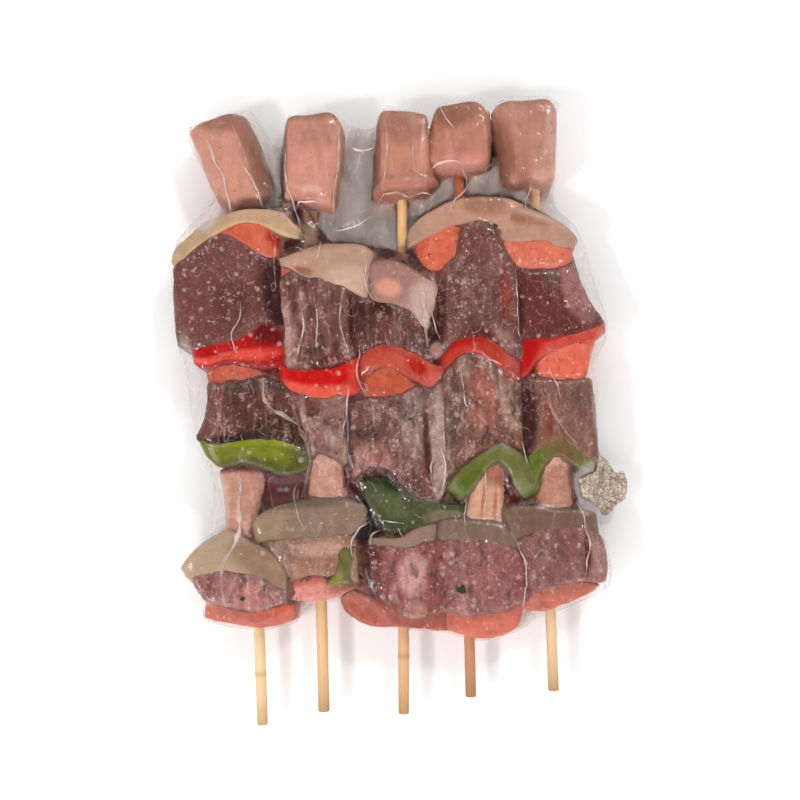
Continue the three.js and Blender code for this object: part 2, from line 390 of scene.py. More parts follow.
class Signal:
    """One output socket, with the operators that add Math nodes to its tree."""

    def __init__(self, shader: Shader, socket: bpy.types.NodeSocket) -> None:
        """Wraps a socket of a shader's tree."""
        self.shader = shader
        self.socket = socket

    def maths(self, operation: str, *others: Signal | float) -> Signal:
        """This value and the others through one Math node."""
        inputs = {0: self} | {k + 1: other for k, other in enumerate(others)}
        return self.shader.add("ShaderNodeMath", {"operation": operation}, inputs)

    def swapped(self, operation: str, first: float) -> Signal:
        """A number and this value, in that order, through one Math node."""
        return self.shader.add("ShaderNodeMath", {"operation": operation}, {0: first, 1: self})

    def __add__(self, other: Signal | float) -> Signal:
        """The sum."""
        return self.maths("ADD", other)

    __radd__ = __add__

    def __mul__(self, other: Signal | float) -> Signal:
        """The product."""
        return self.maths("MULTIPLY", other)

    __rmul__ = __mul__

    def __sub__(self, other: Signal | float) -> Signal:
        """The difference."""
        return self.maths("SUBTRACT", other)

    def __rsub__(self, other: float) -> Signal:
        """The difference from a number."""
        return self.swapped("SUBTRACT", other)

    def __truediv__(self, other: Signal | float) -> Signal:
        """The quotient."""
        return self.maths("DIVIDE", other)

    def __pow__(self, other: float) -> Signal:
        """The power."""
        return self.maths("POWER", other)

    def __lt__(self, other: Signal | float) -> Signal:
        """1 where this value is the smaller one, or else 0."""
        return self.maths("LESS_THAN", other)

    def size(self) -> Signal:
        """The value without its sign."""
        return self.maths("ABSOLUTE")

    def capped(self) -> Signal:
        """The value kept between 0 and 1."""
        return self.maths("MINIMUM", 1.0).maths("MAXIMUM", 0.0)

    def rise(self, low: float, high: float) -> Signal:
        """Smooths this signal into a step; low above high turns it round.

        Args:
            low: where the step is 0.
            high: where it is 1.

        Returns:
            The step.
        """
        settings = {"interpolation_type": "SMOOTHSTEP"}
        inputs = {"Value": self, "From Min": low, "From Max": high}
        return self.shader.add("ShaderNodeMapRange", settings, inputs)


class Shader:
    """A material's node tree: each node comes from one method, settings first, then sockets."""

    def __init__(self, name: str) -> None:
        """Starts an empty material.

        Args:
            name: the material's name.
        """
        self.material = bpy.data.materials.new(name)
        self.material.use_nodes = True
        self.tree = self.material.node_tree
        self.tree.nodes.clear()

    def add(
        self,
        kind: str,
        settings: dict[str, object] | None = None,
        inputs: dict[str | int, object] | None = None,
        output: str | int | None = 0,
    ) -> Signal | None:
        """Adds one node.

        Args:
            kind: the node's type.
            settings: its own properties, set before its sockets.
            inputs: a value or a Signal for each socket that is set.
            output: the output socket to return, or None for a node that has none.

        Returns:
            The chosen output.
        """
        node = self.tree.nodes.new(kind)
        for key, value in (settings or {}).items():
            setattr(node, key, value)
        for key, value in (inputs or {}).items():
            if isinstance(value, Signal):
                self.tree.links.new(value.socket, node.inputs[key])
            else:
                node.inputs[key].default_value = value
        return None if output is None else Signal(self, node.outputs[output])

    def value(self, name: str, output: str = "Fac") -> Signal:
        """A value on the mesh's points, or with output Color or Vector a colour or a vector."""
        return self.add("ShaderNodeAttribute", {"attribute_name": name}, None, output)

    def place(self) -> Signal:
        """Object coordinates in millimetres."""
        spot = self.add("ShaderNodeTexCoord", None, None, "Object")
        return self.stretched(spot, (1 / MM,) * 3)

    def stretched(self, vector: Signal, by: Colour) -> Signal:
        """A vector multiplied by another, part by part."""
        return self.add("ShaderNodeVectorMath", {"operation": "MULTIPLY"}, {0: vector, 1: by})

    def scaled(self, vector: Signal, by: Signal | float) -> Signal:
        """A vector or a colour multiplied by one number."""
        return self.add("ShaderNodeVectorMath", {"operation": "SCALE"}, {0: vector, "Scale": by})

    def moved(self, vector: Signal, by: Signal) -> Signal:
        """The sum of two vectors."""
        return self.add("ShaderNodeVectorMath", {"operation": "ADD"}, {0: vector, 1: by})

    def cloud(
        self, vector: Signal, size: float, detail: float = 3.0, output: str = "Fac"
    ) -> Signal:
        """Noise with features of a size in millimetres, from 0 to 1 round 0.5."""
        inputs = {"Vector": vector, "Scale": 1 / size, "Detail": detail, "Roughness": 0.55}
        return self.add("ShaderNodeTexNoise", None, inputs, output)

    def cells(self, vector: Signal, size: float, output: str = "Distance") -> Signal:
        """Distance to the nearest of scattered points, in cell sizes, or a colour of each cell."""
        return self.add("ShaderNodeTexVoronoi", None, {"Vector": vector, "Scale": 1 / size}, output)

    def ridges(self, vector: Signal, size: float) -> Signal:
        """Distance to the border between the cells of scattered points."""
        settings = {"feature": "DISTANCE_TO_EDGE"}
        return self.add("ShaderNodeTexVoronoi", settings, {"Vector": vector, "Scale": 1 / size})

    def mix(self, share: Signal | float, first: object, second: object) -> Signal:
        """Shares one colour with another; a plain tuple is a linear colour.

        Args:
            share: how much of the second shows.
            first: the colour at share 0.
            second: the colour at share 1.

        Returns:
            The mixed colour.
        """
        full = [(*c, 1.0) if isinstance(c, tuple) else c for c in (first, second)]
        inputs = {0: share, 6: full[0], 7: full[1]}
        return self.add("ShaderNodeMix", {"data_type": "RGBA"}, inputs, 2)

    def bump(self, height: Signal, strength: float = 1.0) -> Signal:
        """Makes a normal from heights.

        Args:
            height: the heights, mm.
            strength: how strongly they show.

        Returns:
            The normal.
        """
        return self.add(
            "ShaderNodeBump", None, {"Height": height, "Distance": MM, "Strength": strength}, "Normal"
        )

    def solid(self, colour: object, rough: Signal | float, **more: object) -> Signal:
        """Makes the plain surface shader.

        Args:
            colour: its base colour.
            rough: its roughness.
            more: further sockets by name, with _ for a space, such as Normal.

        Returns:
            The surface.
        """
        inputs = {"Base Color": colour, "Roughness": rough}
        inputs |= {key.replace("_", " "): value for key, value in more.items()}
        return self.add("ShaderNodeBsdfPrincipled", None, inputs, "BSDF")

    def blend(self, share: Signal | float, first: Signal, second: Signal) -> Signal:
        """Two surface shaders shared."""
        return self.add("ShaderNodeMixShader", None, {0: share, 1: first, 2: second}, "Shader")

    def finish(self, surface: Signal) -> bpy.types.Material:
        """The material, once the tree ends in its surface."""
        self.add("ShaderNodeOutputMaterial", None, {"Surface": surface}, None)
        return self.material


@dataclass(frozen=True)
class FoodFinish:
    """How one kind of food is coloured inside its own tone, and its fine relief, in mm."""

    name: str
    roughness: float = 0.5
    mottle: float = 0.15  # strength of the soft cloudy variation
    mottle_size: float = 6.0
    streak: float = 0.0  # strength of the streaks
    streak_size: Colour = (1.0, 8.0, 1.0)  # their size across, along and up
    vein: float = 0.0  # strength of thin winding lines
    vein_tone: str = "ffffff"
    vein_size: float = 8.0
    vein_width: float = 0.03
    speck: float = 0.0  # share of the cells that hold a speck
    speck_tone: str = "ffffff"
    speck_size: float = 1.6
    blot: float = 0.0  # strength of darker blots
    blot_tone: str = "000000"
    blot_size: float = 3.0
    grain: float = 0.05  # height of the fine grain
    grain_size: float = 0.8
    frosted: bool = False  # whether the frost on the mesh shows as pale dots
    fold: float = 0.0  # strength of the broad folds: their bump, and light and shade painted into their colour
    fold_size: Colour = (3.4, 9.0, 5.0)
    sheen: float = 0.12  # specular level

    def material(self) -> bpy.types.Material:
        """Builds the material.

        The tone on the mesh is scaled by clouds, streaks and the painted light and shade of the
        folds; painted shade darkens the folds' hollows, then veins, blots, specks and frost are
        laid over it. The relief is fine noise, and the folds, veins and streaks stand out of it.

        Returns:
            The material.
        """
        shader = Shader(self.name)
        place = shader.place()
        flow = shader.value("flow", "Vector")
        cloud = shader.cloud(place, self.mottle_size, 5.0)
        fine = shader.cloud(place, self.grain_size, 4.0)
        factor = 1 + (cloud - 0.5) * (3.0 * self.mottle) + (fine - 0.5) * (1.2 * self.mottle)
        height = fine * self.grain
        if self.fold:
            sizes = tuple(1 / size for size in self.fold_size)
            bent = shader.moved(flow, shader.scaled(shader.cloud(place, 7.0, 2.0, "Color"), 9.0))
            folds = shader.cloud(shader.stretched(bent, sizes), 1.0, 2.0)
            crumple = shader.value("crumple") * self.fold
            # painted light and shade: the tone is lighter on the folds' crests and darker in their hollows
            factor = factor * ((folds - 0.5) * 3.0 * crumple + 1)
            height = height + folds * crumple * 2.4
        if self.streak:
            sizes = tuple(1 / size for size in self.streak_size)
            lines = shader.cloud(shader.stretched(flow, sizes), 1.0, 3.0)
            factor = factor + (lines - 0.5) * (2.4 * self.streak)
            height = height + lines * (self.grain * 3)
        colour = shader.scaled(shader.value("tone", "Color"), factor)
        if self.blot:
            mask = shader.cloud(place, self.blot_size, 3.0).rise(0.52, 0.72) * self.blot
            colour = shader.mix(mask, colour, tint(self.blot_tone))
        if self.fold:
            # painted shade: the folds' hollows darkened to deep maroon
            colour = shader.mix(folds.rise(0.46, 0.26) * crumple * 1.1, colour, tint("2e100f"))
            rime = folds.rise(0.55, 0.68) * fine.rise(0.4, 0.6) * crumple * 0.9
            colour = shader.mix(rime.capped(), colour, tint("c6a59d"))
        if self.vein:
            warp = shader.scaled(shader.cloud(place, self.vein_size, 3.0, "Color"), self.vein_size)
            lines = shader.cloud(shader.moved(flow, warp), self.vein_size, 2.0) - 0.5
            near = lines.size().rise(self.vein_width, 0.0)
            patch = shader.cloud(place, self.vein_size * 2.5, 1.0).rise(0.4, 0.6)
            colour = shader.mix(near * patch * self.vein, colour, tint(self.vein_tone))
            height = height + near * (self.grain * 1.5)
        if self.speck:
            near = shader.cells(place, self.speck_size).rise(0.42, 0.22)
            lucky = shader.cells(place, self.speck_size, "Color")
            chosen = shader.add("ShaderNodeSeparateColor", None, {0: lucky}) < self.speck
            colour = shader.mix(near * chosen * 0.8, colour, tint(self.speck_tone))
        if self.frosted:
            frost = shader.value("frost")
            drift = shader.cloud(place, 8.0, 2.0).rise(0.32, 0.62)
            bent = shader.moved(place, shader.scaled(shader.cloud(place, 1.6, 2.0, "Color"), 1.5))
            for size, strength, many in ((3.1, 0.4, 0.85), (1.5, 0.5, 0.45)):
                lucky = shader.cells(bent, size, "Color")
                chance = shader.add("ShaderNodeSeparateColor", None, {0: lucky})
                reach = 0.5 - chance * 0.35
                near = (shader.cells(bent, size) / reach).rise(1.0, 0.35)
                dots = near * (chance < frost * drift * many) * strength
                colour = shader.mix(dots, colour, tint("cdb5af"))
            dust = shader.cloud(place, 0.9, 3.0).rise(0.56, 0.74)
            dust = dust * shader.cloud(place, 5.0, 2.0).rise(0.45, 0.7)
            colour = shader.mix((dust * frost * 1.3).capped() * 0.7, colour, tint("cfb8b2"))
            strand = (shader.cloud(place, 3.4, 2.0) - 0.5).size().rise(0.02, 0.004)
            strand = strand * shader.cloud(place, 1.6, 1.0).rise(0.52, 0.62) * frost * 1.4
            colour = shader.mix(strand.capped() * 0.42, colour, tint("c9aca4"))
        rough = (cloud - 0.5) * 0.3 + self.roughness
        normal = shader.bump(height)
        return shader.finish(
            shader.solid(colour, rough, Specular_IOR_Level=self.sheen, Normal=normal)
        )


# ---- food -------------------------------------------------------------------------------------


@dataclass(frozen=True)
class Daub:
    """A soft patch of another tone on a morsel, in its own plan from -1 to 1 both ways. Some
    give the food's own colour; many paint shade and highlights where light falls on it.
    """

    across: float
    ahead: float
    wide: float
    long: float
    tone: str
    share: float = 1.0

    def weight(self, across: Array, ahead: Array) -> Array:
        """Its share at each point: full in the middle of an ellipse, nothing at its rim."""
        away = ((across - self.across) / self.wide) ** 2 + ((ahead - self.ahead) / self.long) ** 2
        return self.share * (1 - smooth(np.sqrt(away), 0.45, 1.0))


@dataclass(frozen=True)
class Cut:
    """How one kind of food is cut, and how its surface runs, in mm."""

    slot: str
    finish: FoodFinish
    high: float  # top above the surface
    flank: float  # squareness of the cross-section
    near_end: float  # squareness of the end towards the handle, seen from the side
    far_end: float  # and of the other end
    corner: float  # squareness of the corners, seen from above
    wave: float  # height and size of the large waves
    wave_size: float
    facet: float  # height and size of the folds
    facet_size: float
    step: float  # distance between vertices
    pleat: float  # height and distance of the ridges that run along it
    pleat_size: float
    grow: float  # how far its ends reach under its neighbours
    reach: float = 1.4  # how far its flanks reach into its neighbours


class Kind(Enum):
    """The foods on the skewers."""

    FRANKFURTER = Cut(
        "sausage",
        FoodFinish(
            "frankfurter_skin", 0.42, 0.16, 6.0, 0.06, (1.6, 14.0, 1.6), 0.0, speck=0.03,
            speck_tone="a04a3c", speck_size=1.3, grain=0.07, grain_size=0.9, frosted=True,
            fold=0.12,
        ),
        26.0, 4.0, 18.0, 14.0, 24.0, 0.5, 12.0, 0.25, 4.0, 0.91, 0.25, 5.0, 0.3, 0.0,
    )
    PALE_SAUSAGE = Cut(
        "sausage",
        FoodFinish(
            "pale_sausage", 0.45, 0.2, 5.0, 0.2, (9.0, 1.6, 2.0), 0.25, "ecc4b0", 7.0, 0.05,
            grain=0.1, grain_size=0.9, frosted=True,
        ),
        25.5, 3.2, 16.0, 16.0, 22.0, 0.4, 8.0, 0.35, 3.0, 0.68, 0.35, 3.0, 1.0, 0.5,
    )
    LONGANIZA = Cut(
        "longaniza",
        FoodFinish(
            "cured_longaniza", 0.4, 0.24, 3.5, 0.0, (1.0, 1.0, 1.0), 0.0, speck=0.06,
            speck_tone="e9a18c", speck_size=1.3, blot=0.4, blot_tone="8e2c1e", blot_size=3.0,
            grain=0.1, grain_size=0.8, frosted=True,
        ),
        26.0, 3.4, 16.0, 16.0, 24.0, 0.3, 8.0, 0.25, 3.0, 0.68, 0.15, 4.0, 1.0,
    )
    BEEF = Cut(
        "beef",
        FoodFinish(
            "raw_beef", 0.42, 0.34, 5.0, 0.1, (1.3, 9.0, 1.6), 0.35, "b08a80", 7.0, 0.03,
            blot=0.5, blot_tone="2a0c0d", blot_size=5.0, grain=0.16, grain_size=0.9,
            frosted=True, fold=0.55,
        ),
        28.0, 4.5, 18.0, 18.0, 30.0, 0.7, 13.0, 0.6, 4.5, 0.63, 0.55, 4.5, 0.6,
    )
    ONION = Cut(
        "onion",
        FoodFinish(
            "onion_layer", 0.35, 0.16, 6.0, 0.1, (16.0, 1.1, 3.0), 0.08, "dcc3a4", 12.0, 0.02,
            grain=0.06, grain_size=0.8, frosted=True,
        ),
        27.5, 3.2, 16.0, 8.0, 20.0, 0.3, 14.0, 0.18, 5.0, 0.8, 0.15, 4.0, 1.0,
    )
    PEPPER = Cut(
        "red_pepper",
        FoodFinish(
            "sweet_pepper", 0.3, 0.22, 5.0, 0.12, (12.0, 1.6, 2.0), 0.0,
            blot=0.3, blot_tone="3a2408", blot_size=4.0, grain=0.05, grain_size=1.2, frosted=True,
        ),
        27.0, 3.2, 14.0, 14.0, 22.0, 0.3, 12.0, 0.2, 4.0, 0.68, 0.1, 4.0, 0.8,
    )


def even_steps(line: Array, scale: Colour, step: float, least: int, whole: bool = True) -> Array:
    """A line cut into steps of equal length.

    Args:
        line: one row of values for each of its coordinates.
        scale: what each coordinate is worth in mm.
        step: the length wanted.
        least: the fewest points.
        whole: whether the last point is kept, or left out because it is the first again.

    Returns:
        The coordinates at even steps.
    """
    length = np.linalg.norm(np.diff(line) * np.array(scale)[:, None], axis=0)
    length = np.concatenate([[0], np.cumsum(length)])
    even = np.linspace(0, length[-1], max(least, int(length[-1] / step)), endpoint=whole)
    return np.stack([np.interp(even, length, part) for part in line])


@dataclass(frozen=True)
class Morsel:
    """One piece of food on a skewer.

    near and far are its edges towards the handle and towards the point, from left to right, as
    pairs of side and along. bulge moves its left and right flanks outwards half way along.
    """

    kind: Kind
    near: Pairs
    far: Pairs
    tone: str
    # patches of other tones: the food's own colour, and painted shade and highlights
    daubs: tuple[Daub, ...] = ()
    bulge: tuple[float, float] = (0.0, 0.0)
    high: float | None = None
    rake: float = 0.0  # how far the top of the near end stands back from its foot
    pitch: float = 0.0  # how much higher the far end is than the near end
    frost: float = 0.0
    pleat: float | None = None  # height of its ridges, where it isn't its kind's own
    lip: float = 0.0  # height of a fold across it at its near end
    shoulders: tuple[float, float] = (0.0, 0.0)  # how much of each half of its top slopes down
    slot: str | None = None
    DROP: ClassVar[float] = 13.0  # how far a shoulder slopes down at the flank
    SUNK: ClassVar[float] = 4.0  # how far its lower half would reach into the surface
    SAMPLES: ClassVar[int] = 3001  # points of a fine curve, before it is cut into steps

    def profiles(self) -> tuple[Array, Array]:
        """Even steps along the lump and round it.

        Along the piece its height is (1 - |v|^e)^(1/e), with an exponent for each end, and its
        width is the same with the corner's exponent. Round it, the section is a superellipse.
        Both are cut into steps of equal length.

        Returns:
            Rows of v, width and height, and columns of across and up, all from -1 to 1.
        """
        cut = self.kind.value
        near, far = np.asarray(self.near, float), np.asarray(self.far, float)
        long = abs(far[:, 1].mean() - near[:, 1].mean()) / 2
        wide = (np.ptp(near[:, 0]) + np.ptp(far[:, 0])) / 4
        tall = self.height - STICK_HEIGHT
        turn = np.linspace(-math.pi / 2, math.pi / 2, self.SAMPLES)

        def arc(exponent: float) -> tuple[Array, Array]:
            """A superellipse's quarter turns: its way along and its half width."""
            along = np.sign(np.sin(turn)) * np.abs(np.sin(turn)) ** (2 / exponent)
            return along, np.abs(np.cos(turn)) ** (2 / exponent)

        v = arc(max(cut.near_end, cut.far_end))[0]
        ends = np.where(v < 0, cut.near_end, cut.far_end)
        height = (1 - np.abs(v) ** ends) ** (1 / ends)
        width = (1 - np.abs(v) ** cut.corner) ** (1 / cut.corner)
        rows = even_steps(np.stack([v, width, height]), (long, wide, tall), cut.step, 12)
        up, across = arc(cut.flank * max(1.0, wide / 10))
        across = np.concatenate([across, -across[-2:0:-1], across[:1]])
        ring = np.stack([across, np.concatenate([up, up[-2::-1]])])
        return rows, even_steps(ring, (wide, tall), cut.step, 24, False)

    @property
    def height(self) -> float:
        """The top above the surface."""
        return self.kind.value.high if self.high is None else self.high

    def shape(self, skewer: Skewer, field: Field, near_by: tuple[bool, bool]) -> Sheet:
        """The lump as a closed mesh with its tones.

        A point of the lump has across, ahead and up from -1 to 1. Its plan lies on the straight
        line from the near edge to the far edge at that across. Its height is the stick's height
        plus up times the piece's half height, and what would sink into the surface is pressed
        flat. Folds are then pushed out along the normal.

        Args:
            skewer: the skewer that the piece is threaded on.
            field: the random field of its folds.
            near_by: whether its near end and its far end meet another piece.

        Returns:
            The mesh.
        """
        cut = self.kind.value
        rows, columns = self.profiles()
        ahead = rows[0][:, None] + 0 * columns[0]
        across = rows[1][:, None] * columns[0]
        up = rows[2][:, None] * columns[1]
        share = (across + 1) / 2
        near = curve_through(self.near, share)
        far = curve_through(self.far, share)
        plan = near + (far - near) * (ahead[..., None] + 1) / 2
        swell = np.where(across < 0, -self.bulge[0], self.bulge[1])
        open_side = np.where(across < 0, *skewer.open_sides)
        reach = np.where(open_side, 0.0, cut.reach)
        plan[..., 0] += swell * np.abs(across) * (1 - ahead**2) + reach * across
        plan[..., 1] += cut.grow * ahead * np.where(ahead < 0, *near_by)
        plan[..., 1] += self.rake * up * (1 - ahead) / 2
        top = self.height - STICK_HEIGHT + self.pitch * ahead / 2
        for sign, part in zip((-1, 1), self.shoulders):
            slope = np.clip((sign * across - 1) / max(part, 0.01) + 1, 0, 1)
            top = top - self.DROP * part * slope
        z = STICK_HEIGHT + np.where(up > 0, up * top, up * (STICK_HEIGHT + self.SUNK))
        points = skewer.points(plan[..., 0], plan[..., 1], z)
        normals = np.cross(
            np.gradient(points, axis=0), np.roll(points, -1, axis=1) - np.roll(points, 1, axis=1)
        )
        normals /= np.linalg.norm(normals, axis=-1, keepdims=True) + 1e-9
        folds = cut.wave * field.fractal(points, cut.wave_size, 2)
        creased = 1 - 2 * np.abs(field.fractal(points + 50, cut.facet_size * 1.6, 3)) ** 0.7
        folds += cut.facet * (0.6 * field.fractal(points, cut.facet_size, 4) + 0.5 * creased)
        flow = np.stack([plan[..., 0], plan[..., 1], z], axis=-1)
        height = cut.pleat if self.pleat is None else self.pleat
        reach = (cut.pleat_size, cut.pleat_size * 9, 30.0)
        ridges = 1 - 2 * np.abs(field.fractal(flow, reach, 3)) ** 0.75
        folds += height * ridges
        lip = np.exp(-(((ahead + 0.9) / 0.07) ** 2)) - 0.8 * np.exp(-(((ahead + 0.72) / 0.09) ** 2))
        folds += self.lip * lip
        keep = smooth(rows[1], 0.0, 0.35)[:, None]
        points = points + normals * (folds * keep)[..., None]
        points[..., 2] = np.maximum(points[..., 2], FLOOR_GAP)
        tone = self.paint(across, ahead)
        # painted light and shade: the tone is paler on the ridges' crests and darker in the folds' hollows
        painted_crest_light = smooth(ridges, 0.55, 1.0) * min(1.0, height / 0.5) * 0.55
        painted_hollow_shade = smooth(folds, 0.0, -1.2) * 0.5
        tone = tone * (1 - painted_hollow_shade[..., None])
        tone = tone + (np.sqrt(tone) * 0.75 - tone) * painted_crest_light[..., None]
        frost = self.frost * smooth(tone.mean(axis=-1), 0.01, 0.05)
        crumple = np.full(across.shape, min(1.0, height / 0.5))
        values = {"flow": flow, "tone": tone, "frost": frost, "crumple": crumple}
        return closed(points, values)

    def paint(self, across: Array, ahead: Array) -> Array:
        """Lays each daub over the piece's tone in turn, painted shade and highlights among them.

        Args:
            across: each point's place from left to right, from -1 to 1.
            ahead: its place from near to far, from -1 to 1.

        Returns:
            The tone at each point.
        """
        tone = np.broadcast_to(under_film(self.tone), (*across.shape, 3)).copy()
        for daub in self.daubs:
            share = daub.weight(across, ahead)[..., None]
            tone = tone * (1 - share) + under_film(daub.tone) * share
        return tone


@dataclass(frozen=True)
class BambooFinish:
    """Split bamboo: pale straw with fine fibres along it and a few brown ones."""

    name: str = "split_bamboo"
    fibre: float = 0.16
    dark: str = "8a5a32"

    def material(self) -> bpy.types.Material:
        """Builds the material; fibres are noise drawn out along the stick.

        Returns:
            The material.
        """
        shader = Shader(self.name)
        flow = shader.value("flow", "Vector")
        fine, broad, patches = (
            shader.cloud(shader.stretched(flow, by), 1.0, detail)
            for by, detail in (
                ((2.6, 0.05, 2.6), 4.0), ((0.8, 0.02, 0.8), 2.0), ((0.3, 0.06, 0.3), 3.0)
            )
        )
        factor = 1 + (fine - 0.5) * (2.6 * self.fibre) + (patches - 0.5) * 0.4
        colour = shader.scaled(shader.value("tone", "Color"), factor)
        line = broad.rise(0.60, 0.72) * fine.rise(0.45, 0.62)
        colour = shader.mix(line * 0.55, colour, tint(self.dark))
        rough = 0.55 + (fine - 0.5) * 0.3
        normal = shader.bump(fine * 0.18 + broad * 0.1)
        return shader.finish(shader.solid(colour, rough, Specular_IOR_Level=0.35, Normal=normal))


@dataclass(frozen=True)
class Stick:
    """A round bamboo stick with a sawn, softened handle end and a turned point."""

    tone: str
    foot: str  # the tone of its handle end
    upper: str  # painted light: its tone in the valley near its other end, set to look lit there
    knots: tuple[float, ...] = ()  # where a joint of the cane crosses it, along it
    length: float = 250.0
    radius: float = 2.3
    end_radius: float = 1.8
    rounding: float = 0.8
    point: float = 16.0
    point_radius: float = 0.5
    sides: int = 40
    step: float = 0.9

    def shape(self, skewer: Skewer, field: Field) -> Sheet:
        """The stick as a closed mesh.

        The radius along it is a rounded end, a shaft and a straight taper; fibres and slow waves
        take a little off it, and a knot is a low ring.

        Args:
            skewer: the skewer whose centre line it follows.
            field: the random field of its unevenness.

        Returns:
            The mesh.
        """
        shaft = np.arange(self.rounding, self.length - self.point, self.step)
        turn = np.linspace(0, math.pi / 2, 5)
        bevel = self.radius - self.end_radius
        taper = ((self.length - self.point, self.radius), (self.length, self.point_radius))
        parts = (
            ([0.0, 0.0], [0.0, self.end_radius * 0.5]),
            (self.rounding * (1 - np.cos(turn)), self.end_radius + bevel * np.sin(turn)),
            (shaft[1:], np.full(len(shaft) - 1, self.radius)),
            np.linspace(*taper, 14).T,
            ([self.length], [0.0]),
        )
        along, radius = (np.concatenate(part) for part in zip(*parts))
        angle = np.linspace(0, 2 * math.pi, self.sides, endpoint=False)
        round_it = np.stack([np.cos(angle), np.sin(angle)])
        across, over = round_it * self.radius
        spots = np.stack(np.broadcast_arrays(across, along[:, None], over), axis=-1)
        fibre = field.at(spots, (0.7, 60.0, 0.7)) * 0.05 + field.at(spots, (3, 25, 3)) * 0.06
        rings = sum((0.16 * np.exp(-(((along - at) / 1.1) ** 2)) for at in self.knots), 0 * along)
        grown = radius[:, None] + (fibre + rings[:, None] - 0.05) * smooth(radius, 0.2, 1.5)[:, None]
        side, up = grown * round_it[0], grown * round_it[1]
        ahead = np.broadcast_to(along[:, None], side.shape)
        points = skewer.points(side, ahead, STICK_HEIGHT + up)
        tone = np.array(tint(self.tone))
        far = smooth(along, 175.0, 185.0)
        # the foot is the sawn end's own tone; towards the far end the tone turns to the valley's painted
        # light
        for other, share in ((self.foot, np.exp(-along / 9.0)), (self.upper, far)):
            tone = tone * (1 - share[:, None, None]) + np.array(tint(other)) * share[:, None, None]
        tone = tone * (1 - 1.8 * np.minimum(rings, 0.2)[:, None, None])
        tone = np.broadcast_to(tone, (*side.shape, 3))
        return closed(points, {"flow": spots, "tone": tone})


@dataclass
class Skewer:
    """One skewer: a stick whose place comes from the frame, and the food threaded on it."""

    node: str
    stick: Stick
    food: tuple[Morsel, ...]
    open_sides: tuple[bool, bool] = (False, False)  # whether no skewer lies at its left, right
    TOUCH: ClassVar[float] = 3.0  # pieces nearer than this meet

    def locate(self, frame: dict[str, dict]) -> None:
        """Reads the stick's two ends from its CAD node: its lowest and its highest vertices.
        """
        mesh = frame["nodes"][self.node].data
        spots = np.zeros(len(mesh.vertices) * 3)
        mesh.vertices.foreach_get("co", spots)
        spots = spots.reshape(-1, 3) / MM
        handle = spots[spots[:, 1] < spots[:, 1].min() + 0.4].mean(axis=0)
        tip = spots[spots[:, 1] > spots[:, 1].max() - 0.4].mean(axis=0)
        run = (tip - handle)[:2]
        self.handle = handle[:2]
        self.ahead = run / np.linalg.norm(run)
        self.right = np.array([self.ahead[1], -self.ahead[0]])

    def points(self, side: Array, along: Array, up: Array) -> Array:
        """Places in the pack: the handle end plus side to the right plus along ahead."""
        plan = self.handle + side[..., None] * self.right + along[..., None] * self.ahead
        return np.concatenate([plan, np.broadcast_to(up, side.shape)[..., None]], axis=-1)

    def build(self, number: int, materials: Materials) -> list[Sheet]:
        """Makes the skewer's pieces.

        Args:
            number: its place from the left, from 1.
            materials: the finishes, made.

        Returns:
            The food's meshes, for the film to lie on.
        """
        field = Field(number)
        bamboo = self.stick.shape(self, field)
        bamboo.build(self.node + "_bamboo", materials.bamboo, "bamboo", self.node)
        sheets = [bamboo]
        counts: dict[str, int] = {}
        gaps = [
            np.mean(after.near, axis=0)[1] - np.mean(before.far, axis=0)[1]
            for before, after in itertools.pairwise(self.food)
        ]
        meets = [False, *(gap < self.TOUCH for gap in gaps), False]
        for morsel, near_by in zip(self.food, itertools.pairwise(meets)):
            slot = morsel.slot or morsel.kind.value.slot
            counts[slot] = counts.get(slot, 0) + 1
            sheet = morsel.shape(self, Field(100 * number + len(sheets)), near_by)
            name = f"skewer_{number}_{slot}_{counts[slot]}"
            sheet.build(name, materials.food[morsel.kind], slot)
            sheets.append(sheet)
        return sheets


# ---- film, juice and what lies on them --------------------------------------------------------


@dataclass
class Sides:
    """An outline: left and right as pairs of y and x, near and far as pairs of x and y.

    All are in the film's plan, where the first stick's handle end is at the film's anchor.
    """

    left: Pairs
    right: Pairs
    near: Pairs
    far: Pairs


def patch(sides: Sides, v: Array, u: Array) -> Array:
    """A plan with four curved sides, blended between them.

    A point is the straight mix of the left and right sides plus the straight mix of the near
    and far ends, less the straight mix of the four corners.

    Args:
        sides: the four sides.
        v: a column of places from the near end, 0, to the far end, 1.
        u: a row of places from the left, 0, to the right, 1.

    Returns:
        Places x, y for each v and u.
    """

    def side(pairs: Pairs) -> Array:
        """A side as x, y at every v."""
        y = pairs[0][0] + (pairs[-1][0] - pairs[0][0]) * v
        return np.stack([curve_over(pairs, y), y], axis=-1)

    def end(pairs: Pairs, at: Array) -> Array:
        """An end as x, y."""
        x = pairs[0][0] + (pairs[-1][0] - pairs[0][0]) * at
        return np.stack([x, curve_over(pairs, x)], axis=-1)

    def between(first: Array, second: Array, t: Array) -> Array:
        """The straight mix of two."""
        return first + (second - first) * t[..., None]

    zero, one = np.zeros((1, 1)), np.ones((1, 1))
    near, far = sides.near, sides.far
    ruled = between(side(sides.left), side(sides.right), u) + between(end(near, u), end(far, u), v)
    lower = between(end(near, zero), end(near, one), u)
    upper = between(end(far, zero), end(far, one), u)
    return ruled - between(lower, upper, v)


class Lattice:
    """A square lattice of the plan, wide enough for some points."""

    def __init__(self, points: Array, cell: float) -> None:
        """Fits the lattice round the points.

        Args:
            points: one row of x, y, z for each point.
            cell: the lattice's step.
        """
        self.cell = cell
        self.origin = points[:, :2].min(axis=0) - 4 * cell
        self.size = np.ceil(np.ptp(points[:, :2], axis=0) / cell).astype(int) + 9

    def spots(self, plan: Array) -> Array:
        """Places of the plan counted in steps of the lattice."""
        return (plan - self.origin) / self.cell

    def slots(self, points: Array) -> tuple[Array, Array]:
        """The row and the column of the lattice point nearest to each point."""
        index = np.rint(self.spots(points[..., :2])).astype(int)
        return index[..., 0], index[..., 1]


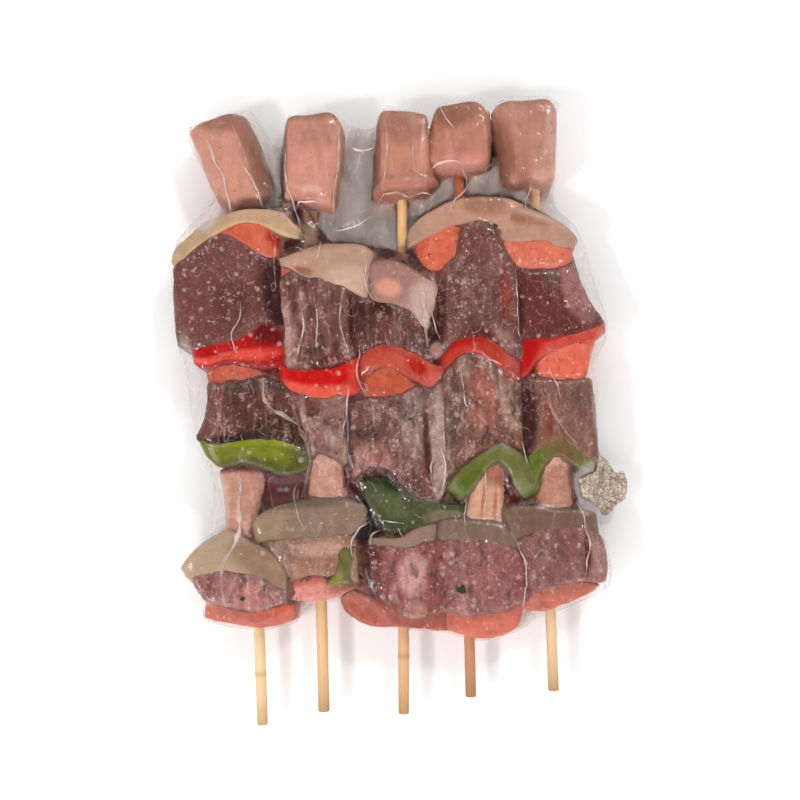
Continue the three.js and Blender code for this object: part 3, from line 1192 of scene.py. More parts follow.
class Relief(Lattice):
    """The greatest heights that points reach, in mm."""

    EMPTY = -60.0

    def __init__(self, points: Array, cell: float = 0.9) -> None:
        """Sorts the points into the lattice and fills its empty cells from their neighbours.

        Args:
            points: x, y, z of each point, in any grid.
            cell: the lattice's step.
        """
        points = points.reshape(-1, 3)
        super().__init__(points, cell)
        self.heights = np.full(self.size, self.EMPTY)
        np.maximum.at(self.heights, self.slots(points), points[:, 2])
        grown = np.pad(self.heights, 1, constant_values=self.EMPTY)
        windows = np.lib.stride_tricks.sliding_window_view(grown, (3, 3))
        ringed = (windows > self.EMPTY).sum(axis=(2, 3)) >= 5
        filled = ringed & (self.heights == self.EMPTY)
        self.heights = np.where(filled, windows.max(axis=(2, 3)), self.heights)

    def at(self, plan: Array) -> Array:
        """Heights between lattice points, shared by how near each of the four is.

        Args:
            plan: places x, y.

        Returns:
            The height at each place, or EMPTY beyond the lattice.
        """
        spot = self.spots(plan)
        limit = self.size - 2
        cell = np.clip(np.floor(spot).astype(int), 0, limit)
        part = np.clip(spot - cell, 0, 1)
        total = 0.0
        for i, j in itertools.product((0, 1), repeat=2):
            share = np.where(i, part[..., 0], 1 - part[..., 0])
            share = share * np.where(j, part[..., 1], 1 - part[..., 1])
            total = total + share * self.heights[cell[..., 0] + i, cell[..., 1] + j]
        outside = np.any((spot < 0) | (spot > limit + 1), axis=-1)
        return np.where(outside, self.EMPTY, total)


class Stain(Lattice):
    """The mean tone of the food round each point of the plan."""

    def __init__(self, sheets: list[Sheet], cell: float = 1.2, passes: int = 14) -> None:
        """Sums the tones of the food's upper points over the lattice and spreads them.

        Args:
            sheets: the meshes.
            cell: the lattice's step.
            passes: how often each sum is shared with its four neighbours.
        """
        points = np.vstack([sheet.points for sheet in sheets])
        tones = np.vstack([sheet.values["tone"] for sheet in sheets])
        super().__init__(points, cell)
        upper = points[:, 2] > STICK_HEIGHT + 6
        sums = np.zeros((*self.size, 4))
        weighed = np.hstack([tones[upper], np.ones((upper.sum(), 1))])
        np.add.at(sums, self.slots(points[upper]), weighed)
        for _ in range(passes):
            around = [np.roll(sums, step, axis) for step in (-1, 1) for axis in (0, 1)]
            sums = (sums + sum(around)) / 5
        self.tones = sums[..., :3] / np.maximum(sums[..., 3:], 1e-6)

    def at(self, plan: Array) -> Array:
        """The tone at the lattice point nearest to each place."""
        row, column = self.slots(plan)
        return self.tones[np.clip(row, 0, self.size[0] - 1), np.clip(column, 0, self.size[1] - 1)]


@dataclass(frozen=True)
class Veil:
    """A soft patch of the pack where the film is milkier or clearer, in the pack's plan, mm; on the
    lower film such patches are painted shade.
    """

    x: float
    y: float
    wide: float
    long: float
    share: float
    tone: str

    def weight(self, plan: Array) -> Array:
        """Full in the middle of an ellipse, nothing at its rim."""
        away = (plan - (self.x, self.y)) / (self.wide, self.long)
        return 1 - smooth(np.hypot(away[..., 0], away[..., 1]), 0.55, 1.0)


@dataclass(frozen=True)
class FilmFinish:
    """Clear film: see-through with a soft gloss, milky where a veil on the mesh says so."""

    name: str
    gloss: float = 0.09  # roughness of its shine
    milk: float = 0.35  # roughness of its milky parts
    wrinkle: float = 0.4  # height of its fine wrinkles
    wrinkle_size: float = 5.0
    crease: float = 0.18  # strength of thin winding creases

    def material(self) -> bpy.types.Material:
        """Builds the material.

        Seen straight on, the film lets light through and shines a little; the share of shine
        grows towards its edges as it does on plastic. The veil lays a milky surface over that.

        Returns:
            The material.
        """
        shader = Shader(self.name)
        place = shader.place()
        wrinkles = shader.cloud(shader.stretched(place, (1.0, 0.5, 1.0)), self.wrinkle_size, 4.0)
        folds = (wrinkles - 0.5).size() * -2 + 1
        normal = shader.bump(folds * self.wrinkle)
        winding = shader.cloud(shader.stretched(place, (1.0, 0.55, 1.0)), 13.0, 2.0) - 0.5
        crease = winding.size().rise(0.011, 0.003) * wrinkles.rise(0.48, 0.6)
        white = {"Color": (1.0, 1.0, 1.0, 1.0)}
        clear = shader.add("ShaderNodeBsdfTransparent", None, white)
        gloss = white | {"Roughness": self.gloss, "Normal": normal}
        shine = shader.add("ShaderNodeBsdfGlossy", None, gloss)
        slant = shader.add("ShaderNodeLayerWeight", None, {"Blend": 0.5, "Normal": normal}, "Facing")
        skin = shader.blend(slant**5 * 0.8 + 0.018, clear, shine)
        milk = shader.solid(shader.value("tone", "Color"), self.milk, Normal=normal)
        patchy = shader.value("veil") * (0.75 + wrinkles * 0.5)
        patchy = patchy + crease * self.crease
        return shader.finish(shader.blend(patchy.capped(), skin, milk))


@dataclass
class Film(Sides):
    """The vacuum film: a closed skin, sealed round its rim and pulled down on the food."""

    anchor: tuple[float, float]
    veils: tuple[Veil, ...]
    painted_shade_below: tuple[Veil, ...]  # painted shade on the lower film, grey and dark maroon
    rows: int = 232
    columns: int = 200
    seam: float = 11.5  # height of the seam
    thick: float = 0.6  # least thickness of the pack, at its seam
    gap: float = 0.3  # how far the film lies off the food
    suction: float = 0.03  # how far it dips at each step between two pieces
    passes: int = 120

    def place(self, handle: Array) -> None:
        """Lays the seam's plan in the frame, with its anchor on the first handle end."""
        self.offset = np.asarray(handle) - self.anchor

    def plan(self) -> Array:
        """The film's grid seen from above."""
        v, u = steps(self.rows + 1, self.columns + 1)
        return patch(self, v, u) + self.offset

    def crowding(self, passes: int) -> Array:
        """How much food there is round each grid point: its share of the plan near by.

        Args:
            passes: how often each share is blended with its four neighbours.

        Returns:
            A share from 0 to 1 for each grid point.
        """
        share = (self.food > 12).astype(float)
        for _ in range(passes):
            share = around(np.pad(share, 1, mode="edge"))
        return share

    def drape(self, held: Array, rim: float) -> Array:
        """Pulls a film tight over heights that it can't pass.

        Each pass moves every inner point to the mean of its four neighbours less the suction,
        but never through what is under it. Coarse grids settle first and finer ones start from
        them, so that wide gaps settle too.

        Args:
            held: the least height at each grid point.
            rim: the height of the rim.

        Returns:
            The film's heights.
        """
        heights = None
        for stride in (8, 4, 2, 1):
            limit = held[::stride, ::stride]
            if heights is None:
                heights = np.maximum(limit, rim)
            for count in reversed(limit.shape):
                even = np.linspace(0, heights.shape[1] - 1, count)
                heights = np.array([np.interp(even, range(len(line)), line) for line in heights]).T
            for _ in range(self.passes):
                inner = np.maximum(around(heights) - self.suction * stride**2, limit[1:-1, 1:-1])
                heights = np.pad(inner, 1, constant_values=rim)
        return heights

    def settle(self, sheets: list[Sheet]) -> None:
        """Lays both films on the food.

        Args:
            sheets: the food's meshes.
        """
        self.ground = self.plan()
        middles = [sheet.points[sheet.quads].mean(axis=1) for sheet in sheets]
        points = np.vstack([sheet.points for sheet in sheets] + middles)
        self.bed = Relief(points)
        self.food = self.bed.at(self.ground)
        belly = Relief(points * (1, 1, -1)).at(self.ground)
        self.top = self.drape(self.food + self.gap, self.seam)
        under = -self.drape(np.where(belly > -40, belly, Relief.EMPTY), -self.seam + self.thick)
        self.bottom = np.clip(under, 0.0, None)
        self.top = np.maximum(self.top, self.bottom + self.thick)
        self.relief = Relief(raised(self.ground, self.top), 1.3)
        self.relief.heights[self.relief.heights < 0] = self.seam

    def shape(self, juice: Array, field: Field) -> Sheet:
        """The skin as a closed mesh with its veil.

        Where the film spans a gap it is pulled into ridges that run along the pack, and it is
        milkier the deeper the gap. The lower film carries painted shade from its own veils.

        Args:
            juice: the height of the juice at each grid point, or EMPTY.
            field: the random field of the ridges.

        Returns:
            The mesh.
        """
        x, y = self.ground[..., 0], self.ground[..., 1]
        held = np.maximum(self.food, juice)
        free = smooth(self.top - held, 0.4, 4.0) * smooth(-self.food, -14.0, -8.0)
        spots = np.stack([x, y, 0 * x], axis=-1)
        ridges = 1 - 2 * np.abs(field.fractal(spots, (5.0, 22.0, 9.0), 3)) ** 0.8
        edge = np.minimum(1, 6 * np.minimum(*np.broadcast_arrays(*self.inset())))
        top = self.top + 0.6 * ridges * free * edge + 0.08 * field.fractal(spots, 3.0, 2)
        top = np.maximum(top, self.bottom + self.thick)
        free = free * (1 - 0.75 * smooth(self.crowding(14), 0.3, 0.55))
        flank = smooth(np.hypot(*np.gradient(self.top)), 0.8, 2.0)
        share = 0.004 + 0.28 * free + 0.08 * np.maximum(ridges, 0) * free
        share, tone = self.veiled(self.veils, share)
        share = share * (1 - 0.75 * flank)
        rim = 1 - smooth(edge, 0.0, 0.15)
        share = share * (1 - rim) + 0.4 * rim * free
        below = 0.03 + 0.09 * (1 - smooth(edge, 0.1, 0.6))
        # painted shade: the lower film's veils lay grey and dark maroon under the windows and gaps
        below, shade_below_tone = self.veiled(self.painted_shade_below, below)
        values = {
            "veil": np.concatenate([share.ravel(), below.ravel()]),
            "tone": np.vstack([tone.reshape(-1, 3), shade_below_tone.reshape(-1, 3)]),
        }
        return slab(self.ground, top, self.bottom, values)

    def veiled(self, veils: tuple[Veil, ...], share: Array) -> tuple[Array, Array]:
        """Lays each veil in turn over a clear film.

        Args:
            veils: the veils.
            share: how milky the film is without them.

        Returns:
            How milky the film is, and its tone.
        """
        tone = np.array(tint("d2c4bb"))
        for veil in veils:
            weight = veil.weight(self.ground - self.offset)
            share = share * (1 - weight) + veil.share * weight
            weight = weight[..., None]
            tone = tone * (1 - weight) + np.array(tint(veil.tone)) * weight
        return share, tone

    def inset(self) -> tuple[Array, Array]:
        """How far each grid line is from the seam, as a share of the grid, both ways."""
        v, u = steps(self.rows + 1, self.columns + 1)
        return np.minimum(v, 1 - v), np.minimum(u, 1 - u)

    def build(self, juice: Juice, materials: Materials) -> None:
        """Makes the film around everything else.

        Args:
            juice: the juice, settled.
            materials: the finishes, made.
        """
        sheet = self.shape(juice.heights_on(self), Field(501))
        sheet.build("vacuum_film", materials.film, "film", "vacuum_bag")


@dataclass(frozen=True)
class JuiceAndShadeFinish:
    """Dark meat juice, deep maroon and wet; its dark tone is also painted shade in the valleys."""

    name: str = "juice_and_valley_shade"

    def material(self) -> bpy.types.Material:
        """Builds the material: soft clouds in its tone and its gloss.

        Returns:
            The material.
        """
        shader = Shader(self.name)
        place = shader.place()
        cloud = shader.cloud(place, 6.0, 3.0)
        colour = shader.scaled(shader.value("tone", "Color"), 0.6 + cloud * 0.8)
        normal = shader.bump(cloud * 0.3)
        rough = 0.25 + cloud * 0.2
        return shader.finish(shader.solid(colour, rough, Specular_IOR_Level=0.1, Normal=normal))


@dataclass
class Juice(Sides):
    """Juice that has run out of the meat and fills the valleys between the pieces; its dark tone
    is also painted shade deep in those valleys.
    """

    tone: str
    veils: tuple[Veil, ...] = ()
    rows: int = 220
    columns: int = 180
    depth: float = 0.9  # below the film in the valleys
    shore: float = 3.0  # width over which it runs out at its sides
    foot: float = 1.2
    taken: float = 0.45  # share of the food's tone in its own, where it is narrow

    def settle(self, film: Film, sheets: list[Sheet]) -> None:
        """Works out its surface: the film's height less the depth, run out at its sides.

        Where food comes near the film the juice stays just below the food. Its tone is its own
        shared with the tone of the food round it.

        Args:
            film: the film, settled.
            sheets: the meshes that lie in the juice.
        """
        v, u = steps(self.rows, self.columns)
        self.plan = patch(self, v, u)
        self.ground = self.plan + film.offset
        long = np.ptp(self.plan[..., 1])
        wide = np.ptp(self.plan[..., 0])
        edge = np.minimum(np.minimum(v, 1 - v) * long, np.minimum(u, 1 - u) * wide)
        inside = smooth(edge, 0.0, self.shore)
        level = film.relief.at(self.ground) - self.depth
        food, crowd, pressed = (
            Relief(raised(film.ground, layer), 1.0).at(self.ground)
            for layer in (film.food, film.crowding(40), film.crowding(5))
        )
        level = np.where(food > level - 3, np.minimum(level, food - 0.5), level)
        inside = inside * smooth(crowd, 0.12, 0.3)
        self.around = Stain(sheets).at(self.ground)
        self.share = self.taken * smooth(pressed, 0.4, 0.75)[..., None]
        self.top = np.maximum(self.foot + (level - self.foot) * inside, self.foot + 0.05)

    def heights_on(self, film: Film) -> Array:
        """The juice's heights at the film's grid points."""
        return Relief(raised(self.ground, self.top), 1.6).at(film.ground)

    def build(self, materials: Materials) -> None:
        """Makes the juice, with its veils laid over its tone.

        Args:
            materials: the finishes, made.
        """
        tone = under_film(self.tone) * (1 - self.share) + self.around * self.share
        for veil in self.veils:
            weight = veil.weight(self.plan)[..., None] * veil.share
            tone = tone * (1 - weight) + under_film(veil.tone) * weight
        values = {"tone": np.vstack([tone.reshape(-1, 3)] * 2)}
        sheet = slab(self.ground, self.top, np.full(self.top.shape, self.foot), values)
        sheet.build("juice_and_valley_shade", materials.juice, "juice")


@dataclass(frozen=True)
class Pleat:
    """One fold of the film that stands up along a line, in the film's plan, mm."""

    line: Pairs
    wide: float = 0.65
    share: float = 0.5
    tall: float = 0.5
    tone: str = "dccbc2"

    def shape(self, film: Film, field: Field) -> Sheet:
        """The fold as a closed mesh: a low half-round ridge that thins out at both ends.

        Its section is half an ellipse with a flat foot just inside the film, and its width and
        height fall to nothing at its ends as the square root of a sine.

        Args:
            film: the film that it stands on.
            field: the random field of its width.

        Returns:
            The mesh.
        """
        knots = np.asarray(self.line, float)
        length = np.linalg.norm(np.diff(knots, axis=0), axis=1).sum()
        count = max(8, int(length / 0.7))
        t = np.linspace(0, 1, count)
        path = curve_through(knots, t) + film.offset
        run = np.gradient(path, axis=0)
        run /= np.linalg.norm(run, axis=1, keepdims=True)
        side = np.stack([run[:, 1], -run[:, 0]], axis=-1)
        taper = np.sqrt(np.sin(math.pi * np.clip(t, 0.002, 0.998)))
        spots = raised(path, np.zeros(count))
        uneven = np.clip(1 + 1.2 * field.fractal(spots, 3.5, 3), 0.3, 2.0)
        path = path + side * (1.1 * field.fractal(spots, 6.0, 3))[:, None]
        angle = np.linspace(0, 2 * math.pi, 10, endpoint=False)
        half = (self.wide / 2 * taper * uneven)[:, None] * np.cos(angle)
        rise = np.where(np.sin(angle) > 0, self.tall, 0.25) * np.sin(angle)
        plan = path[:, None] + half[..., None] * side[:, None]
        z = film.relief.at(plan) + (taper * uneven)[:, None] * rise + 0.05
        share = self.share * (0.35 + 0.65 * np.maximum(np.sin(angle), 0)) * taper[:, None]
        share = share * np.clip(1 + 1.2 * field.fractal(spots, 4.0, 3), 0.15, 1.6)[:, None]
        tone = np.broadcast_to(np.array(tint(self.tone)), (*z.shape, 3))
        ends = np.clip(np.arange(-1, count + 1), 0, count - 1)
        return closed(raised(plan, z)[ends], {"veil": share[ends], "tone": tone[ends]})


@dataclass(frozen=True)
class Leaf:
    """A flake of dried herb between the food and the film, in the film's plan, mm."""

    x: float
    y: float
    long: float
    turn: float = 0.0  # degrees to the left
    tone: str = "3d4a30"

    def shape(self, film: Film, field: Field) -> Sheet:
        """The flake as a closed mesh: a pointed oval with a ragged rim that lies on the food.

        The rim is (cos a, 0.7 sin^3 a) times half the length; rings run from the middle of its
        top out to the rim and back to the middle of its underside.

        Args:
            film: the film that it lies under.
            field: the random field of its rim.

        Returns:
            The mesh.
        """
        angle = np.linspace(0, 2 * math.pi, 32, endpoint=False)
        circle = np.stack([np.cos(angle), np.sin(angle), 0 * angle], axis=-1)
        ragged = 1 + 0.8 * field.fractal(circle * 3, 2.0, 3)
        rim = np.stack([circle[:, 0], 0.7 * circle[:, 1] ** 3], axis=-1)
        rim = rim * (ragged * self.long / 2)[:, None]
        cos, sin = math.cos(math.radians(self.turn)), math.sin(math.radians(self.turn))
        rim = rim @ np.array([[cos, sin], [-sin, cos]])
        out = np.array([0, 0.35, 0.7, 1, 0.7, 0.35, 0])
        lift = np.array([0.3, 0.3, 0.26, 0.15, 0.02, 0.0, 0.0])
        plan = (self.x, self.y) + film.offset + out[:, None, None] * rim
        points = raised(plan, film.bed.at(plan) + lift[:, None])
        tone = np.broadcast_to(under_film(self.tone), points.shape)
        return closed(points, {"tone": tone, "flow": points})


def joined(things: tuple[Pleat | Leaf, ...], seed: int) -> Sheet:
    """Joins small things on the film into one mesh, each still closed by itself.

    Args:
        things: the things.
        seed: the first one's seed; each has the next number.

    Returns:
        The mesh.
    """
    sheets = [thing.shape(FILM, Field(seed + k)) for k, thing in enumerate(things)]
    starts = np.cumsum([0] + [len(sheet.points) for sheet in sheets])
    return Sheet(
        np.vstack([sheet.points for sheet in sheets]),
        np.vstack([sheet.quads + start for sheet, start in zip(sheets, starts)]),
        np.vstack([sheet.triangles + start for sheet, start in zip(sheets, starts)]),
        {key: np.concatenate([sheet.values[key] for sheet in sheets]) for key in sheets[0].values},
    )


@dataclass(frozen=True)
class FlapFinish:
    """The stiff end of the seal: crazed all over, with grey and amber shards."""

    name: str = "crazed_film"

    def material(self) -> bpy.types.Material:
        """Builds the material: cells of several tones with dark lines between them.

        Returns:
            The material.
        """
        shader = Shader(self.name)
        place = shader.place()
        fine = shader.cloud(place, 0.9, 4.0)
        bent = shader.moved(place, shader.scaled(shader.cloud(place, 1.8, 3.0, "Color"), 2.6))
        shade = shader.cloud(place, 3.0, 3.0).rise(0.35, 0.65)
        line = shader.ridges(bent, 2.2).rise(0.09, 0.02)
        colour = shader.mix(shade, tint("dcc8b4"), tint("b39d88"))
        colour = shader.mix(line * fine.rise(0.3, 0.5) * 0.8, colour, tint("5d4e42"))
        colour = shader.mix(fine.rise(0.64, 0.76) * 0.5, colour, tint("f0ebe3"))
        normal = shader.bump(line * -0.3 + shade * 0.5 + fine * 0.5)
        return shader.finish(shader.solid(colour, 0.25 + fine * 0.3, Normal=normal))


@dataclass(frozen=True)
class Flap:
    """The crazed flap at the side of the pack, as an outline in the film's plan, mm."""

    outline: Pairs
    height: float = 13.0
    thick: float = 1.1
    droop: float = 6.0  # degrees that its free end hangs down

    def build(self, film: Film, materials: Materials) -> None:
        """Makes the flap: a plate between two crazed faces, hanging down to its free end.

        Rings run from the middle of the top face out to the outline, round its edge and back to
        the middle of the underside. The faces are lifted by ridged noise.

        Args:
            film: the film whose plan it shares.
            materials: the finishes, made.
        """
        corners = np.asarray(self.outline + self.outline[:1], float)
        length = np.concatenate([[0], np.cumsum(np.linalg.norm(np.diff(corners, axis=0), axis=1))])
        even = np.linspace(0, length[-1], 140, endpoint=False)
        outline = np.stack([np.interp(even, length, corners[:, k]) for k in (0, 1)], axis=-1)
        field = Field(733)
        spots = raised(outline, np.zeros(len(outline)))
        middle = outline.mean(axis=0)
        outline = middle + (outline - middle) * (1 + 0.05 * field.fractal(spots, 3.0, 3))[:, None]
        out = np.concatenate([np.linspace(0, 1, 26), np.linspace(1, 0, 14)])
        face = np.concatenate([np.full(26, 1.0), np.full(14, -1.0)])
        plan = middle + out[:, None, None] * (outline - middle)
        spots = raised(plan, np.zeros(plan.shape[:2]))
        crumple = 1 - 2 * np.abs(field.fractal(spots, 4.0, 3)) ** 0.8
        root = self.outline[0][0]
        z = self.height - (plan[..., 0] - root) * math.tan(math.radians(self.droop))
        body = np.maximum(1 - out**8, 0)[:, None]
        laid = film.relief.at(plan + film.offset) + self.thick / 2 + 0.4
        z = np.maximum(z, laid)
        z = z + face[:, None] * self.thick / 2 * body + 0.8 * crumple * body
        closed(raised(plan + film.offset, z), {}).build("crazed_flap", materials.flap, "film")


# ---- studio -----------------------------------------------------------------------------------


LAMPS = (  # name, place in m, power in W, side in m
    ("key", (-0.35, -0.8, 0.8), 4.45, 0.9),
    ("second", (0.45, -0.75, 0.8), 3.35, 0.8),
    ("back", (0.1, 0.9, 0.8), 2.7, 0.9),
    ("glint", (-0.5, -0.3, 0.7), 2.4, 0.1),
    ("far glint", (0.35, 0.55, 0.8), 2.4, 0.1),
)


@dataclass(frozen=True)
class Studio:
    """A pale floor, soft lights and the camera."""

    floor: float = 3.0  # side of the floor, m
    distance: float = 0.5  # from the camera to the middle of the pack, m
    elevation: float = 85.0
    target: Colour = (0.0003, 0.0013, 0.014)
    sensor: float = 36.0
    lens: float = 52.4
    horizon: float = 1.2
    zenith: float = 0.15

    def lay_floor(self) -> None:
        """Lays a large plain square under the pack."""
        half = self.floor / 2
        mesh = bpy.data.meshes.new("floor")
        corners = [(-half, -half, 0), (half, -half, 0), (half, half, 0), (-half, half, 0)]
        mesh.from_pydata(corners, [], [(0, 1, 2, 3)])
        shader = Shader("pale_floor")
        mesh.materials.append(shader.finish(shader.solid((0.93, 0.93, 0.93, 1.0), 0.9)))
        floor = bpy.data.objects.new("floor", mesh)
        bpy.context.scene.collection.objects.link(floor)

    def light(self, name: str, place: Colour, power: float, side: float) -> None:
        """Hangs one square soft light that faces the pack.

        Args:
            name: the light's name.
            place: where it hangs, m.
            power: its power, W.
            side: its side, m.
        """
        lamp = bpy.data.lights.new(name, "AREA")
        lamp.energy = power
        lamp.size = side
        holder = bpy.data.objects.new(name, lamp)
        holder.location = place
        aim = -holder.location
        holder.rotation_euler = aim.to_track_quat("-Z", "Y").to_euler()
        bpy.context.scene.collection.objects.link(holder)

    def sky(self) -> bpy.types.World:
        """A white room that is bright all round and dim overhead, so that gloss stays clear.

        Returns:
            The world.
        """
        world = bpy.data.worlds.new("studio")
        world.use_nodes = True
        tree = world.node_tree
        spot = tree.nodes.new("ShaderNodeTexCoord")
        parts = tree.nodes.new("ShaderNodeSeparateXYZ")
        fade = tree.nodes.new("ShaderNodeMapRange")
        fade.inputs["To Min"].default_value = self.horizon
        fade.inputs["To Max"].default_value = self.zenith
        tree.links.new(spot.outputs["Generated"], parts.inputs[0])
        tree.links.new(parts.outputs["Z"], fade.inputs["Value"])
        tree.links.new(fade.outputs[0], tree.nodes["Background"].inputs["Strength"])
        tree.nodes["Background"].inputs["Color"].default_value = (1.0, 1.0, 1.0, 1.0)
        return world

    def set_up(self) -> None:
        """Sets the world, the lights, the floor and the camera."""
        scene = bpy.context.scene
        scene.view_settings.view_transform = "Standard"
        scene.world = self.sky()
        for lamp in LAMPS:
            self.light(*lamp)
        self.lay_floor()
        camera = bpy.data.cameras.new("camera")
        camera.lens = self.lens
        camera.sensor_width = self.sensor
        holder = bpy.data.objects.new("camera", camera)
        up = math.radians(self.elevation)
        x, y, z = self.target
        holder.location = (x, y - self.distance * math.cos(up), z + self.distance * math.sin(up))
        holder.rotation_euler = (math.pi / 2 - up, 0, 0)
        scene.collection.objects.link(holder)
        scene.camera = holder


@dataclass
class Materials:
    """Every finish of the pack, made once."""

    def make(self) -> None:
        """Builds the materials."""
        self.food = {kind: kind.value.finish.material() for kind in Kind}
        self.bamboo = BambooFinish().material()
        self.leaf = FoodFinish("dried_leaf", 0.6, 0.4, 1.2, grain=0.3).material()
        self.juice = JuiceAndShadeFinish().material()
        self.film = FilmFinish("vacuum_film").material()
        self.pleats = FilmFinish("film_pleats", 0.2, 0.3, 0.1, 2.0, 0.0).material()
        self.flap = FlapFinish().material()


# ---- the pack ---------------------------------------------------------------------------------

